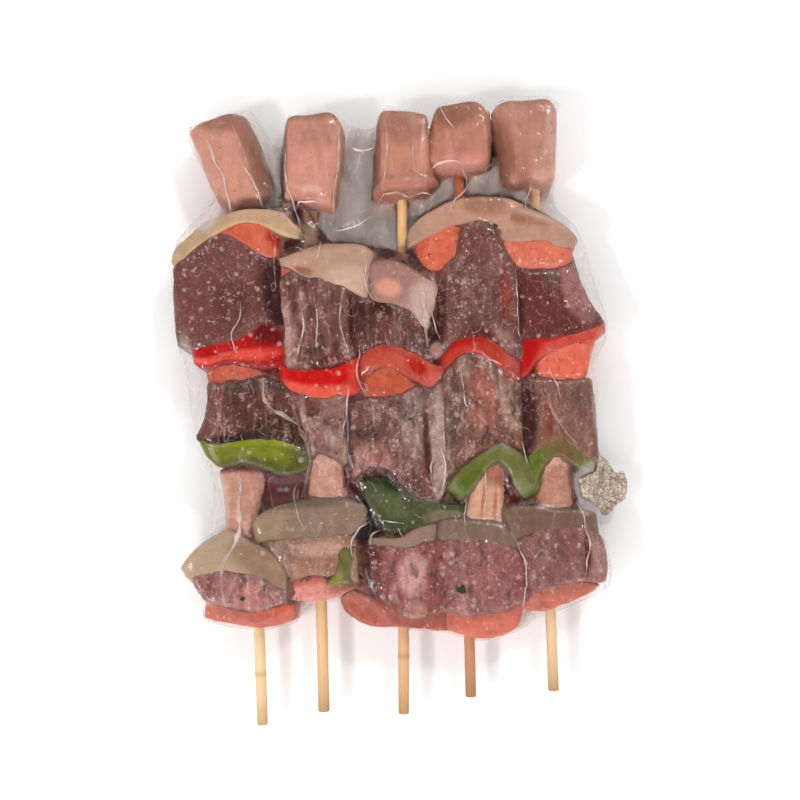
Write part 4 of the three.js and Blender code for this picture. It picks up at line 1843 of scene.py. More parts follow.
SKEWERS = (
    Skewer("stick_1", Stick("e3c294", "bc9565", "e3c294", knots=(21.0,)), (
        Morsel(Kind.LONGANIZA, ((-22, 46), (-14, 44), (-5, 42), (2, 41), (9, 42), (16, 44)), ((-21, 53),
            (-16, 52), (-11, 49), (-2, 47), (6, 50), (15, 49)), "cf7565", high=23.0,
            daubs=(Daub(0.6, 0.5, 0.5, 1.0, "d7684f"),)),
        Morsel(Kind.BEEF, ((-21, 54), (-13, 52), (-4, 49), (3, 49), (12, 52)), ((-27, 62), (-20, 64),
            (-12, 65), (-3, 63), (4, 60), (13, 54)), "9f706a", pleat=0.35,
            daubs=(Daub(0.2, -0.2, 0.7, 0.9, "b87a71"), Daub(-0.6, 0.3, 0.4, 0.9, "8a4f50")), frost=0.32),
        Morsel(Kind.ONION, ((-28, 63), (-21, 64), (-14, 65), (-5, 64), (1, 62), (7, 58), (14, 55)),
            ((-31, 67), (-25, 74), (-18, 79), (-10, 82), (-1, 77), (7, 72), (13, 62)), "b69c82",
            daubs=(Daub(0.5, 0.0, 0.8, 1.4, "987964"),), frost=0.1),
        # its dark band at the far end is a painted shadow under the green pepper
        Morsel(Kind.PALE_SAUSAGE, ((-12, 80), (-6, 77), (1, 77)), ((-14, 106), (-4, 108), (8, 105)),
            "bf8b79", high=24.5, daubs=(Daub(-1.0, 0.0, 0.5, 1.4, "cfa595"),
            Daub(0.2, -1.0, 1.0, 0.4, "9c5a4e"), Daub(0.0, 1.0, 1.5, 0.25, "6e3632")), bulge=(-1.0, -1.5)),
        # painted light and shade: darker along its edges and its right end, brighter along its ridge
        Morsel(Kind.PEPPER, ((-19, 114), (-12, 109), (-2, 110), (6, 107), (14, 104), (25, 107)),
            ((-23, 122), (-16, 118), (-6, 118), (5, 119), (16, 118), (26, 113)), "70772a",
            daubs=(Daub(0.1, -0.9, 1.3, 0.7, "5c5a2c"), Daub(0.9, 0.0, 0.35, 1.2, "535624"),
            Daub(0.2, 0.1, 0.5, 0.4, "7c802c"), Daub(0.0, 0.75, 1.5, 0.3, "868c28"),
            Daub(0.0, 1.05, 1.6, 0.18, "4c4f20")), slot="green_pepper", pitch=2.0, frost=0.25),
        # the dark band at its near end is painted shade in the gap above the green pepper
        Morsel(Kind.BEEF, ((-22, 121), (-15, 118), (-4, 119), (8, 119), (17, 117), (25, 113)), ((-17, 143),
            (-9, 142), (1, 143), (7, 144), (13, 141), (18, 137)), "654038",
            daubs=(Daub(0.6, -0.6, 0.9, 0.7, "4a322b"), Daub(-0.1, -1.0, 1.4, 0.4, "36231a"),
            Daub(0.1, 0.9, 1.0, 0.4, "5a4540"), Daub(-0.8, 0.0, 0.4, 1.2, "7a4e44")), bulge=(-1.5, 0.5),
            frost=0.15),
        Morsel(Kind.LONGANIZA, ((-17, 143), (-9, 142), (1, 143), (8, 145)), ((-18, 149), (-8, 151),
            (0, 150), (9, 148)), "ca6652", high=25.5),
        # its dark crimson far right is painted shade
        Morsel(Kind.PEPPER, ((-23, 153), (-17, 150), (-8, 152), (1, 150), (9, 149), (17, 153)), ((-24, 158),
            (-16, 159), (-7, 161), (1, 165), (9, 168), (18, 162)), "b51a20",
            daubs=(Daub(-0.3, -0.35, 1.4, 0.42, "e2584a"), Daub(-0.1, -1.0, 1.3, 0.3, "9c454c"),
            Daub(0.7, 0.5, 0.6, 0.7, "6c0c12")), frost=0.25),
        # its dark right side is painted shade
        Morsel(Kind.BEEF, ((-29, 160), (-22, 159), (-13, 160), (-6, 161), (2, 165), (9, 168), (16, 166)),
            ((-30, 193), (-24, 197), (-18, 203), (-12, 206), (-6, 206), (1, 201), (8, 196), (15, 194)),
            "7a4c47", daubs=(Daub(0.95, -0.1, 0.5, 1.8, "42201f"), Daub(0.1, -0.3, 0.5, 0.6, "6c403c")),
            bulge=(0.5, 0.0), frost=0.45, pleat=0.08),
        Morsel(Kind.LONGANIZA, ((-12, 206), (-6, 205), (0, 201), (5, 197), (11, 195), (15, 199)),
            ((-12, 207), (-7, 209), (-1, 211), (4, 212), (10, 209), (16, 203)), "d3684f", high=27.0,
            daubs=(Daub(0.9, 0.3, 0.5, 0.8, "a83224"),)),
        Morsel(Kind.ONION, ((-29, 193), (-24, 198), (-19, 202), (-13, 206), (-6, 210), (1, 212), (9, 210),
            (14, 207), (19, 205), (23, 204)), ((-31, 196), (-28, 202), (-22, 207), (-16, 212), (-8, 215),
            (1, 217), (9, 217), (17, 215), (21, 210), (24, 207)), "bd9b7b",
            daubs=(Daub(0.5, 0.3, 0.6, 1.2, "c7a080"), Daub(0.0, -0.9, 1.6, 0.4, "cfae88"))),
        # painted light and shade: darker at its far end, its near end and its right side
        Morsel(Kind.FRANKFURTER, ((-11, 224), (-4, 218), (2, 217), (8, 217), (13, 222)), ((-22, 253),
            (-17, 256), (-11, 258), (-4, 260), (2, 261)), "cf9380",
            daubs=(Daub(0.3, 1.0, 1.1, 0.5, "a06c5c"), Daub(0.85, 0.1, 0.6, 1.7, "9e6b58"),
            Daub(0.3, -1.05, 1.0, 0.3, "74463a")), bulge=(0.5, 2.4), rake=2.0, shoulders=(0.05, 0.55)),
    ), (True, False)),
    Skewer("stick_2", Stick("dab183", "ad8457", "e6b474", radius=2.45), (
        Morsel(Kind.LONGANIZA, ((-14, 48), (-7, 47), (-1, 47), (6, 48), (13, 51), (18, 53)), ((-12, 53),
            (-8, 56), (-2, 58), (5, 57), (11, 55), (18, 56)), "de9082", high=23.5,
            daubs=(Daub(-0.4, 0.7, 0.7, 0.7, "d96b58"), Daub(0.65, 0.0, 0.75, 1.2, "a96c59"))),
        Morsel(Kind.BEEF, ((-10, 56), (-3, 58), (4, 58), (11, 57), (15, 54)), ((-21, 71), (-12, 72),
            (-1, 72), (8, 73), (15, 73)), "a97c67", daubs=(Daub(-0.8, 0.3, 0.4, 1.0, "967364"),
            Daub(0.0, 0.4, 0.8, 0.5, "bd9482")), frost=0.45, pleat=0.14),
        Morsel(Kind.PEPPER, ((3, 54), (8, 54), (14, 54)), ((9, 68), (12, 69), (15, 69)), "6f6e45",
            daubs=(Daub(-0.5, -0.8, 0.9, 0.7, "8b8048"),), slot="green_pepper", high=29.5,
            bulge=(-3.0, 0.0)),
        Morsel(Kind.ONION, ((-25, 71), (-16, 72), (-8, 71), (2, 71), (10, 72), (19, 78)), ((-27, 80),
            (-20, 85), (-11, 88), (-1, 89), (11, 89), (20, 85)), "917766",
            daubs=(Daub(-0.7, 0.0, 0.5, 1.2, "9a8069"), Daub(0.1, 0.9, 0.8, 0.4, "6e5c4c")), frost=0.15),
        Morsel(Kind.PALE_SAUSAGE, ((-5, 90), (2, 89), (9, 88), (14, 89)), ((-2, 105), (2, 109), (7, 107),
            (12, 104)), "c38c7b", bulge=(0.5, -1.0)),
        Morsel(Kind.BEEF, ((-2, 107), (2, 109), (7, 107), (12, 104)), ((-10, 133), (-4, 132), (4, 130),
            (14, 132)), "916a5f", daubs=(Daub(-0.9, 0.2, 0.3, 1.4, "c08468"),
            Daub(-0.3, 0.7, 0.6, 0.6, "7d4f45"), Daub(0.4, -0.4, 0.4, 0.5, "a5857a")), frost=0.2),
        Morsel(Kind.PEPPER, ((-13, 136), (-7, 134), (0, 131), (10, 131), (19, 134)), ((-15, 148),
            (-11, 144), (-3, 143), (8, 143), (19, 149)), "c90e02",
            daubs=(Daub(0.0, -0.65, 1.7, 0.75, "e4604e"), Daub(0.95, 0.0, 0.3, 1.4, "d2453a")), frost=0.1),
        Morsel(Kind.BEEF, ((-11, 145), (-5, 144), (3, 145), (10, 147), (17, 149)), ((-13, 180), (-7, 183),
            (0, 181), (8, 179), (16, 176)), "7c524b", daubs=(Daub(-0.85, -0.3, 0.3, 1.1, "b48a80"),
            Daub(-0.9, 0.9, 0.3, 0.4, "9c6250"), Daub(0.95, 0.0, 0.2, 1.2, "4a2a29"),
            Daub(0.35, -1.0, 0.8, 0.3, "5a2a26")), frost=0.25, pleat=0.8),
        Morsel(Kind.LONGANIZA, ((-15, 181), (-10, 182), (-5, 184)), ((-15, 190), (-10, 188), (-5, 185)),
            "ba6650", high=26.5),
        Morsel(Kind.ONION, ((-14, 189), (-8, 187), (-3, 183), (3, 181), (10, 179), (17, 176), (23, 172)),
            ((-15, 190), (-9, 192), (-2, 195), (6, 197), (14, 197), (21, 196), (26, 193)), "bc967f",
            daubs=(Daub(-0.1, 0.9, 0.7, 0.4, "a87d69"), Daub(0.6, -0.6, 0.6, 0.8, "ceab94"),
            Daub(-0.35, -0.6, 0.28, 0.35, "9c6a52")), frost=0.1),
        # painted light and shade: darker towards its far end and on its left side, with a pale painted
        # highlight along the rim of its near end
        Morsel(Kind.FRANKFURTER, ((-12, 215), (-6, 214), (2, 213), (10, 211)), ((-10, 251), (-7, 253),
            (0, 253), (7, 254), (11, 253), (15, 248)), "cf907d", daubs=(Daub(0.1, 0.6, 1.0, 0.55, "be8573"),
            Daub(0.0, 1.0, 1.2, 0.22, "a06e5e"), Daub(-0.95, 0.0, 0.35, 1.7, "9b6b5c"),
            Daub(0.1, -0.72, 0.6, 0.12, "e2aa9a"), Daub(0.0, -1.0, 0.9, 0.14, "c58672")), bulge=(0.7, 1.0),
            rake=2.0, lip=0.35, shoulders=(0.22, 0.1)),
    )),
    Skewer("stick_3", Stick("d5a476", "ad8457", "ffd08e", knots=(24.0,)), (
        Morsel(Kind.LONGANIZA, ((-23, 43), (-19, 40), (-12, 37), (-2, 37), (7, 36), (18, 35)), ((-25, 47),
            (-20, 51), (-12, 48), (-4, 45), (3, 41), (18, 43)), "b46455", high=23.0),
        Morsel(Kind.BEEF, ((-11, 50), (-6, 47), (0, 42), (9, 42), (18, 44)), ((-15, 70), (-8, 70), (1, 69),
            (9, 71), (17, 72)), "8f554e", pleat=0.35, daubs=(Daub(0.15, 0.2, 0.45, 0.8, "cb958e"),
            Daub(-0.85, 0.3, 0.3, 1.2, "783c3a"), Daub(-0.85, -0.7, 0.35, 0.6, "6c3835"),
            Daub(0.2, -0.8, 0.4, 0.4, "b07a70")), bulge=(0.0, 0.0), frost=0.3),
        Morsel(Kind.ONION, ((-15, 70), (-8, 70), (-1, 69), (6, 71), (14, 72)), ((-14, 74), (-8, 74),
            (-1, 74), (5, 78), (15, 81)), "977a69", high=27.0),
        Morsel(Kind.PEPPER, ((-16, 92), (-11, 84), (-6, 76), (-1, 76), (7, 78), (15, 81), (25, 82)),
            ((-18, 97), (-13, 99), (-7, 99), (0, 95), (7, 90), (15, 88), (25, 87)), "4d5238",
            daubs=(Daub(0.7, -0.4, 0.4, 0.8, "7d7058"), Daub(-0.2, 0.0, 0.5, 0.6, "5d6345"),
            Daub(-0.4, 0.9, 0.8, 0.4, "343a28")), slot="green_pepper", high=26.5, frost=0.25),
        Morsel(Kind.BEEF, ((-20, 98), (-13, 103), (-5, 102), (0, 96), (7, 90), (14, 89), (18, 99)),
            ((-22, 130), (-16, 130), (-9, 131), (-2, 132), (5, 135), (11, 136), (19, 140)), "75504a",
            daubs=(Daub(-0.7, -0.7, 0.6, 0.6, "aa7569"), Daub(0.3, 0.4, 0.35, 0.9, "94766f"),
            Daub(0.76, -0.1, 0.3, 1.3, "bf9f98", 0.85), Daub(0.5, 0.0, 0.1, 1.0, "5c3a35")), frost=0.3,
            pleat=0.6),
        Morsel(Kind.LONGANIZA, ((-16, 133), (-10, 131), (-4, 132), (2, 134), (8, 136)), ((-16, 140),
            (-10, 143), (-6, 145), (-1, 142), (7, 138)), "c35d46", high=26.0),
        Morsel(Kind.PEPPER, ((-17, 141), (-13, 144), (-8, 146), (-3, 145), (1, 142), (6, 139), (11, 136),
            (18, 138)), ((-18, 148), (-13, 152), (-8, 154), (-3, 154), (3, 152), (8, 148), (13, 145),
            (18, 145)), "c25547", daubs=(Daub(-0.5, 0.7, 0.6, 0.6, "bb4a40"),
            Daub(0.35, 0.1, 0.3, 0.8, "b83020"), Daub(0.8, -0.1, 0.35, 0.8, "cf6257")), frost=0.3),
        Morsel(Kind.BEEF, ((-19, 151), (-13, 154), (-7, 155), (0, 153), (6, 150), (12, 145)), ((-22, 174),
            (-16, 173), (-8, 173), (-1, 172), (5, 167), (10, 161)), "6b4440", high=27.5,
            daubs=(Daub(-0.4, 0.6, 0.7, 0.5, "4c2e2a"), Daub(0.6, -0.5, 0.4, 0.7, "7a5a55")), frost=0.25),
        Morsel(Kind.ONION, ((-14, 173), (-8, 173), (-2, 172), (4, 168), (9, 157)), ((-15, 189), (-8, 191),
            (-1, 190), (6, 186), (12, 182), (17, 180)), "a67b71", high=28.5,
            daubs=(Daub(0.6, -0.2, 0.55, 1.2, "c8a698"), Daub(-0.2, 0.95, 1.1, 0.35, "94695b"),
            Daub(-0.35, -0.35, 0.45, 0.55, "dd9c86")), frost=0.1),
        # painted light and shade: darker at its far end and on both sides
        Morsel(Kind.FRANKFURTER, ((-12, 218), (-6, 218), (1, 219), (8, 219), (15, 223)), ((-11, 252),
            (-8, 256), (-1, 256), (7, 255), (10, 254), (12, 248)), "c48873",
            daubs=(Daub(0.0, 0.75, 1.2, 0.8, "a97563"), Daub(0.5, 0.1, 0.14, 0.8, "cc987e"),
            Daub(-0.95, 0.2, 0.32, 1.5, "98685a"), Daub(0.95, 0.2, 0.3, 1.1, "a8745f"),
            Daub(0.0, -1.0, 1.3, 0.18, "bb7b68"), Daub(0.15, -0.6, 0.09, 0.06, "c25a50")), rake=3.6,
            lip=0.7, shoulders=(0.25, 0.3)),
    )),
    Skewer("stick_4", Stick("bc815f", "9e724f", "cc683a"), (
        Morsel(Kind.LONGANIZA, ((-10, 29), (-3, 27), (5, 25), (12, 26), (19, 29)), ((-10, 36), (-2, 34),
            (6, 35), (14, 36), (22, 39)), "d77660", high=23.0),
        Morsel(Kind.BEEF, ((-10, 37), (-2, 36), (6, 36), (14, 38), (23, 41)), ((-12, 65), (-3, 65), (6, 65),
            (14, 63), (21, 59)), "99645c", pleat=0.3, daubs=(Daub(0.8, 0.2, 0.4, 0.9, "8c4e4c"),
            Daub(-0.7, 0.4, 0.4, 0.8, "94605a")), bulge=(0.0, 1.0), frost=0.45),
        Morsel(Kind.ONION, ((-13, 66), (-5, 66), (3, 65), (11, 64), (21, 59)), ((-12, 74), (-5, 74),
            (3, 73), (13, 71), (21, 65)), "82695a"),
        Morsel(Kind.PALE_SAUSAGE, ((-3, 73), (6, 71), (16, 71)), ((3, 89), (10, 98), (17, 95)), "d8a589",
            daubs=(Daub(0.3, 0.7, 0.8, 0.6, "ac6653"), Daub(-0.15, -0.1, 0.1, 0.8, "bf7a60"),
            Daub(0.4, -0.4, 0.12, 0.8, "b86c52"))),
        Morsel(Kind.PEPPER, ((-2, 82), (3, 88), (9, 96), (13, 99), (17, 95), (19, 88), (23, 82)), ((-9, 86),
            (-2, 95), (7, 102), (14, 106), (21, 102), (26, 96), (30, 85)), "6f7040",
            daubs=(Daub(0.0, 0.5, 0.5, 0.6, "807a58"), Daub(0.7, -0.5, 0.3, 0.8, "7e7e50"),
            Daub(-0.7, -0.3, 0.5, 0.8, "5f6a2e")), slot="green_pepper", high=28.0),
        Morsel(Kind.BEEF, ((-11, 90), (-5, 94), (1, 99), (7, 103), (14, 105), (19, 103), (24, 99)),
            ((-9, 128), (-6, 136), (-1, 142), (5, 143), (11, 139), (17, 133), (23, 130)), "80594c",
            daubs=(Daub(0.05, 0.1, 0.38, 0.95, "a6675a"), Daub(0.62, 0.1, 0.3, 0.9, "a58272"),
            Daub(-0.7, 0.0, 0.45, 1.0, "6f524c")), frost=0.3),
        Morsel(Kind.PEPPER, ((-9, 136), (-5, 140), (0, 144), (6, 143), (11, 139), (17, 133), (24, 131)),
            ((-10, 142), (-7, 147), (-2, 150), (4, 151), (11, 149), (17, 144), (24, 140)), "bc4235",
            daubs=(Daub(-0.5, 0.7, 0.9, 1.0, "b01804"), Daub(0.9, 0.0, 0.4, 1.4, "b8564e"))),
        # its dark left side is painted shade
        Morsel(Kind.BEEF, ((-11, 141), (-7, 146), (-2, 150), (5, 151), (11, 149), (17, 144), (24, 141)),
            ((-10, 173), (-7, 180), (-2, 186), (1, 196), (7, 199), (13, 196), (16, 188), (20, 182),
            (23, 177)), "7a504a", daubs=(Daub(-0.95, -0.1, 0.4, 1.2, "472522"),
            Daub(0.6, 0.1, 0.16, 0.8, "93453c"), Daub(-0.1, 0.6, 0.4, 0.5, "7e4f47"),
            Daub(0.6, -0.8, 0.3, 0.35, "a98073", 0.6), Daub(0.1, -1.0, 0.6, 0.25, "6e342c")), frost=0.45,
            pleat=0.3),
        Morsel(Kind.LONGANIZA, ((-19, 189), (-16, 183), (-12, 180), (-7, 181), (-3, 184), (0, 191)),
            ((-19, 191), (-15, 193), (-10, 196), (-6, 198), (-3, 199), (1, 200)), "d66c52", high=27.0),
        Morsel(Kind.ONION, ((-22, 190), (-16, 193), (-10, 196), (-4, 199), (2, 200), (8, 201), (14, 198),
            (19, 192)), ((-22, 196), (-17, 202), (-11, 206), (-3, 210), (5, 211), (12, 211), (20, 210),
            (28, 206)), "c0907a", daubs=(Daub(0.4, 0.3, 0.5, 1.1, "a5765f"),
            Daub(-0.9, 0.0, 0.4, 1.2, "b08c78"), Daub(-0.1, 1.0, 1.0, 0.35, "8c5f4d"))),
        # painted light and shade: darker at its far end and sides, lighter at its near end
        Morsel(Kind.FRANKFURTER, ((-14, 225), (-9, 221), (-1, 222), (7, 222), (13, 224)), ((-11, 248),
            (-8, 251), (-1, 252), (7, 253), (14, 248)), "bf826c",
            daubs=(Daub(-0.1, 0.75, 1.0, 0.75, "986654"), Daub(0.9, 0.6, 0.3, 0.6, "b07c67"),
            Daub(-0.85, 0.0, 0.25, 1.2, "a56e5a"), Daub(0.0, -1.0, 1.3, 0.42, "d38f7d"),
            Daub(1.0, -0.1, 0.2, 0.6, "a16d58")), bulge=(0.8, 0.8), rake=4.0, shoulders=(0.08, 0.12)),
    )),
    Skewer("stick_5", Stick("dab793", "ad8457", "f8c494"), (
        Morsel(Kind.LONGANIZA, ((-13, 35), (-3, 34), (3, 36), (9, 38), (16, 41)), ((-12, 42), (-3, 44),
            (4, 45), (12, 45), (21, 43)), "cc7764", high=23.0),
        Morsel(Kind.BEEF, ((-11, 44), (-3, 45), (4, 46), (12, 47), (22, 46)), ((-14, 63), (-6, 67), (2, 68),
            (12, 68), (21, 64)), "8e605a", pleat=0.2, daubs=(Daub(0.8, 0.0, 0.35, 1.3, "a27772"),
            Daub(0.58, 0.0, 0.1, 1.0, "6e3a38")), bulge=(0.0, 2.0), frost=0.45),
        Morsel(Kind.ONION, ((-16, 63), (-10, 66), (-3, 67), (5, 68), (13, 68), (21, 64)), ((-20, 75),
            (-14, 77), (-6, 77), (3, 75), (12, 75), (20, 73)), "7d6152"),
        Morsel(Kind.PALE_SAUSAGE, ((-7, 77), (-1, 75), (4, 74), (11, 75)), ((-4, 96), (1, 98), (6, 98),
            (11, 96)), "ba836e", daubs=(Daub(-0.2, 0.9, 0.6, 0.4, "dba38c"),
            Daub(0.9, 0.4, 0.4, 0.8, "a55a4a"))),
        Morsel(Kind.PEPPER, ((-7, 81), (-4, 89), (0, 97), (5, 99), (9, 96), (15, 92), (20, 89)), ((-10, 92),
            (-7, 100), (-1, 103), (5, 105), (11, 101), (16, 98), (21, 93)), "756c42",
            daubs=(Daub(0.1, -0.2, 0.4, 1.0, "7c5f46"), Daub(-0.7, 0.0, 0.5, 1.4, "6c7636")),
            slot="green_pepper", high=28.0),
        Morsel(Kind.BEEF, ((-9, 96), (-6, 100), (0, 103), (6, 105), (11, 101), (16, 98), (21, 95)),
            ((-10, 128), (-4, 130), (1, 130), (7, 129), (13, 129), (20, 130)), "8c6052",
            daubs=(Daub(-0.85, 0.0, 0.5, 1.7, "3f231f"), Daub(0.5, 0.5, 0.5, 0.6, "76564c"),
            Daub(-0.25, -0.2, 0.2, 0.8, "8a4d40")), bulge=(0.0, 1.0), frost=0.12, pleat=0.2),
        Morsel(Kind.LONGANIZA, ((-3, 133), (3, 131), (9, 130), (15, 130), (18, 133)), ((-4, 140), (2, 143),
            (9, 145), (16, 147), (23, 147)), "e5735c", high=26.0),
        Morsel(Kind.PEPPER, ((-10, 130), (-6, 134), (-2, 140), (5, 143), (13, 146), (20, 146), (27, 151)),
            ((-10, 149), (-5, 148), (2, 148), (8, 149), (15, 150), (21, 152), (27, 154)), "cf5549",
            daubs=(Daub(-0.8, 0.2, 0.6, 1.6, "b40a02"), Daub(-0.2, 0.8, 0.5, 0.6, "c01405"))),
        # its dark left edge is painted shade
        Morsel(Kind.BEEF, ((-10, 149), (-3, 148), (5, 148), (12, 149), (19, 151), (27, 154)), ((-11, 178),
            (-6, 176), (0, 176), (5, 176), (9, 177), (14, 179)), "6b3a35",
            daubs=(Daub(0.7, 0.2, 0.55, 1.2, "a6706a"), Daub(-1.0, 0.0, 0.3, 1.2, "3c1411"),
            Daub(0.1, 0.8, 0.3, 0.5, "6e5048")), bulge=(0.0, -1.5), frost=0.3, pleat=0.1),
        Morsel(Kind.LONGANIZA, ((-15, 186), (-12, 180), (-7, 177), (0, 176), (7, 177), (14, 180)),
            ((-17, 191), (-11, 190), (-4, 191), (2, 190), (8, 187), (15, 188)), "dd7861", high=26.5),
        Morsel(Kind.ONION, ((-18, 192), (-12, 190), (-5, 190), (2, 190), (8, 187), (15, 187)), ((-14, 208),
            (-7, 205), (0, 202), (6, 199), (12, 195), (17, 190)), "bb917d",
            daubs=(Daub(-0.4, 0.2, 0.7, 0.35, "a8745c"),)),
        # painted light and shade: darker on its left side and far end, lighter on its right side and near
        # end
        Morsel(Kind.FRANKFURTER, ((-15, 214), (-9, 213), (-3, 215), (2, 214), (8, 216)), ((-20, 244),
            (-16, 249), (-11, 251), (-2, 251), (6, 251), (10, 246)), "b9826f",
            daubs=(Daub(-0.8, -0.2, 0.6, 1.3, "9a6452"), Daub(0.1, 1.0, 0.9, 0.3, "a87764"),
            Daub(0.85, 0.1, 0.4, 1.4, "c79987"), Daub(0.6, -0.95, 0.7, 0.3, "d69c89"),
            Daub(-0.35, -0.95, 0.5, 0.3, "b07563")), bulge=(-1.2, 0.0), rake=2.0, shoulders=(0.35, 0.08)),
    ), (False, True)),
)

FILM = Film(
    left=(
        (-92, -82), (-89, -84), (-85, -83), (-82, -83), (-79, -86), (-74, -90), (-69, -94),
        (-65, -90), (-59, -85), (-54, -81), (-47, -81), (-36, -80), (-28, -82), (-22, -85),
        (-15, -88), (-8, -89), (2, -91), (11, -92), (19, -94), (27, -97), (35, -98), (46, -99),
        (57, -100), (65, -99), (73, -97), (80, -91), (87, -84), (91, -80), (99, -84), (108, -89),
        (117, -93), (123, -93),
    ),
    right=(
        (-81, 81), (-78, 88), (-71, 90), (-64, 89), (-55, 87), (-48, 85), (-40, 85), (-32, 85),
        (-24, 85), (-15, 85), (-2, 85), (9, 85), (16, 84), (23, 86), (28, 89), (34, 90), (40, 89),
        (49, 86), (59, 83), (68, 81), (73, 79), (79, 76), (83, 72), (87, 68), (93, 67), (99, 68),
        (113, 68), (124, 68), (134, 70),
    ),
    near=(
        (-82, -92), (-74, -94), (-66, -95), (-59, -96), (-51, -94), (-44, -92), (-41, -87),
        (-37, -84), (-32, -84), (-26, -84), (-21, -88), (-18, -92), (-12, -94), (0, -95), (10, -96),
        (17, -96), (24, -98), (32, -100), (41, -99), (47, -97), (50, -94), (52, -88), (61, -88),
        (68, -87), (75, -84), (81, -81),
    ),
    far=(
        (-93, 123), (-86, 126), (-79, 127), (-69, 130), (-66, 130), (-63, 126), (-59, 120),
        (-56, 115), (-53, 114), (-51, 118), (-50, 127), (-46, 129), (-39, 130), (-31, 131),
        (-28, 129), (-24, 125), (-20, 123), (-15, 122), (-12, 123), (-10, 128), (-5, 133), (-2, 131),
        (8, 131), (10, 127), (13, 129), (17, 133), (24, 135), (34, 137), (37, 135), (40, 133),
        (43, 134), (47, 137), (55, 137), (65, 137), (70, 134),
    ),
    anchor=(-57.8, -134.4),
    veils=(
        Veil(-56, 112, 5, 14, 0.6, "c4b7ae"),
        Veil(-84, 80, 9, 10, 0.6, "cdbfb6"),
        Veil(-91, 5, 6, 28, 0.5, "d6cac4"),
        Veil(-80, -42, 7, 20, 0.5, "d0c3bc"),
        Veil(81, 62, 9, 12, 0.5, "d9cdc5"),
        Veil(85, 6, 6, 30, 0.45, "d9cdc5"),
        # painted light: a pale patch of film over the floor's shadow beside the flap
        Veil(80, -33, 9, 11, 0.3, "e6dcd5"),
        Veil(83, -82, 4, 8, 0.75, "e6dcd8"),
        Veil(77, -43, 4, 5, 0.45, "cdbbb0"),
        Veil(15, 22, 3, 4, 0.55, "bd8072"),
        Veil(-13, -49, 9, 12, 0.01, "d2c4bb"),
        Veil(46, -32, 4, 7, 0.01, "d2c4bb"),
        Veil(-54, -13, 16, 3, 0.01, "d2c4bb"),
        Veil(-41, 70, 7, 4, 0.01, "d2c4bb"),
    ),
    # painted shade on the lower film: grey where the table shows through in shadow, dark maroon under the
    # gaps
    painted_shade_below=(
        Veil(-18, 98, 13, 32, 0.95, "9c918f"),
        Veil(-14, 76, 16, 13, 0.95, "8d7f7a"),
        Veil(10, 84, 22, 16, 0.95, "8d7f7a"),
        Veil(36, 92, 16, 16, 0.95, "8f807a"),
        Veil(-50, 98, 7, 26, 0.9, "a2938a"),
        Veil(-37, 76, 10, 12, 0.95, "8d7870"),
        Veil(66, 84, 12, 12, 0.5, "cfc2b8"),
        Veil(20, 87, 8, 9, 0.95, "6b3a31"),
        Veil(52, 85, 7, 6, 0.95, "6b2a28"),
        Veil(39, 107, 6, 12, 0.9, "a08a80"),
        Veil(-29, 73, 13, 6, 0.95, "6f5043"),
        Veil(-12, 72, 8, 6, 0.95, "7a655d"),
        Veil(-41, 70, 8, 6, 0.95, "5e2a22"),
    ),
)

JUICE_AND_SHADE = Juice(
    left=(
        (-88, -74), (-70, -78), (-60, -72), (-46, -60), (-30, -66), (-20, -78), (12, -76),
        (32, -80), (54, -80), (66, -70),
    ),
    right=((-68, 72), (-60, 79), (-50, 80), (-30, 74), (-12, 78), (12, 78), (32, 82), (54, 78), (66, 74)),
    near=(
        (-74, -88), (-60, -89), (-45, -86), (-36, -78), (-24, -78), (-16, -82), (0, -83), (20, -84),
        (44, -84), (52, -77), (72, -68),
    ),
    far=(
        (-82, 66), (-70, 80), (-62, 88), (-50, 88), (-42, 78), (-34, 70), (-14, 70), (2, 67),
        (14, 71), (24, 86), (40, 91), (60, 86), (74, 68),
    ),
    tone="46120f",
    # patches of other tones in the gaps; the near-black one is painted shade deep in the gap between
    # skewers 2 and 3
    veils=(
        Veil(-50, -32, 14, 16, 1.0, "5c3534"), Veil(-14, -49, 9, 13, 1.0, "2e0a08"),
        Veil(46, -34, 5, 8, 1.0, "5a2a22"),
    ),
)

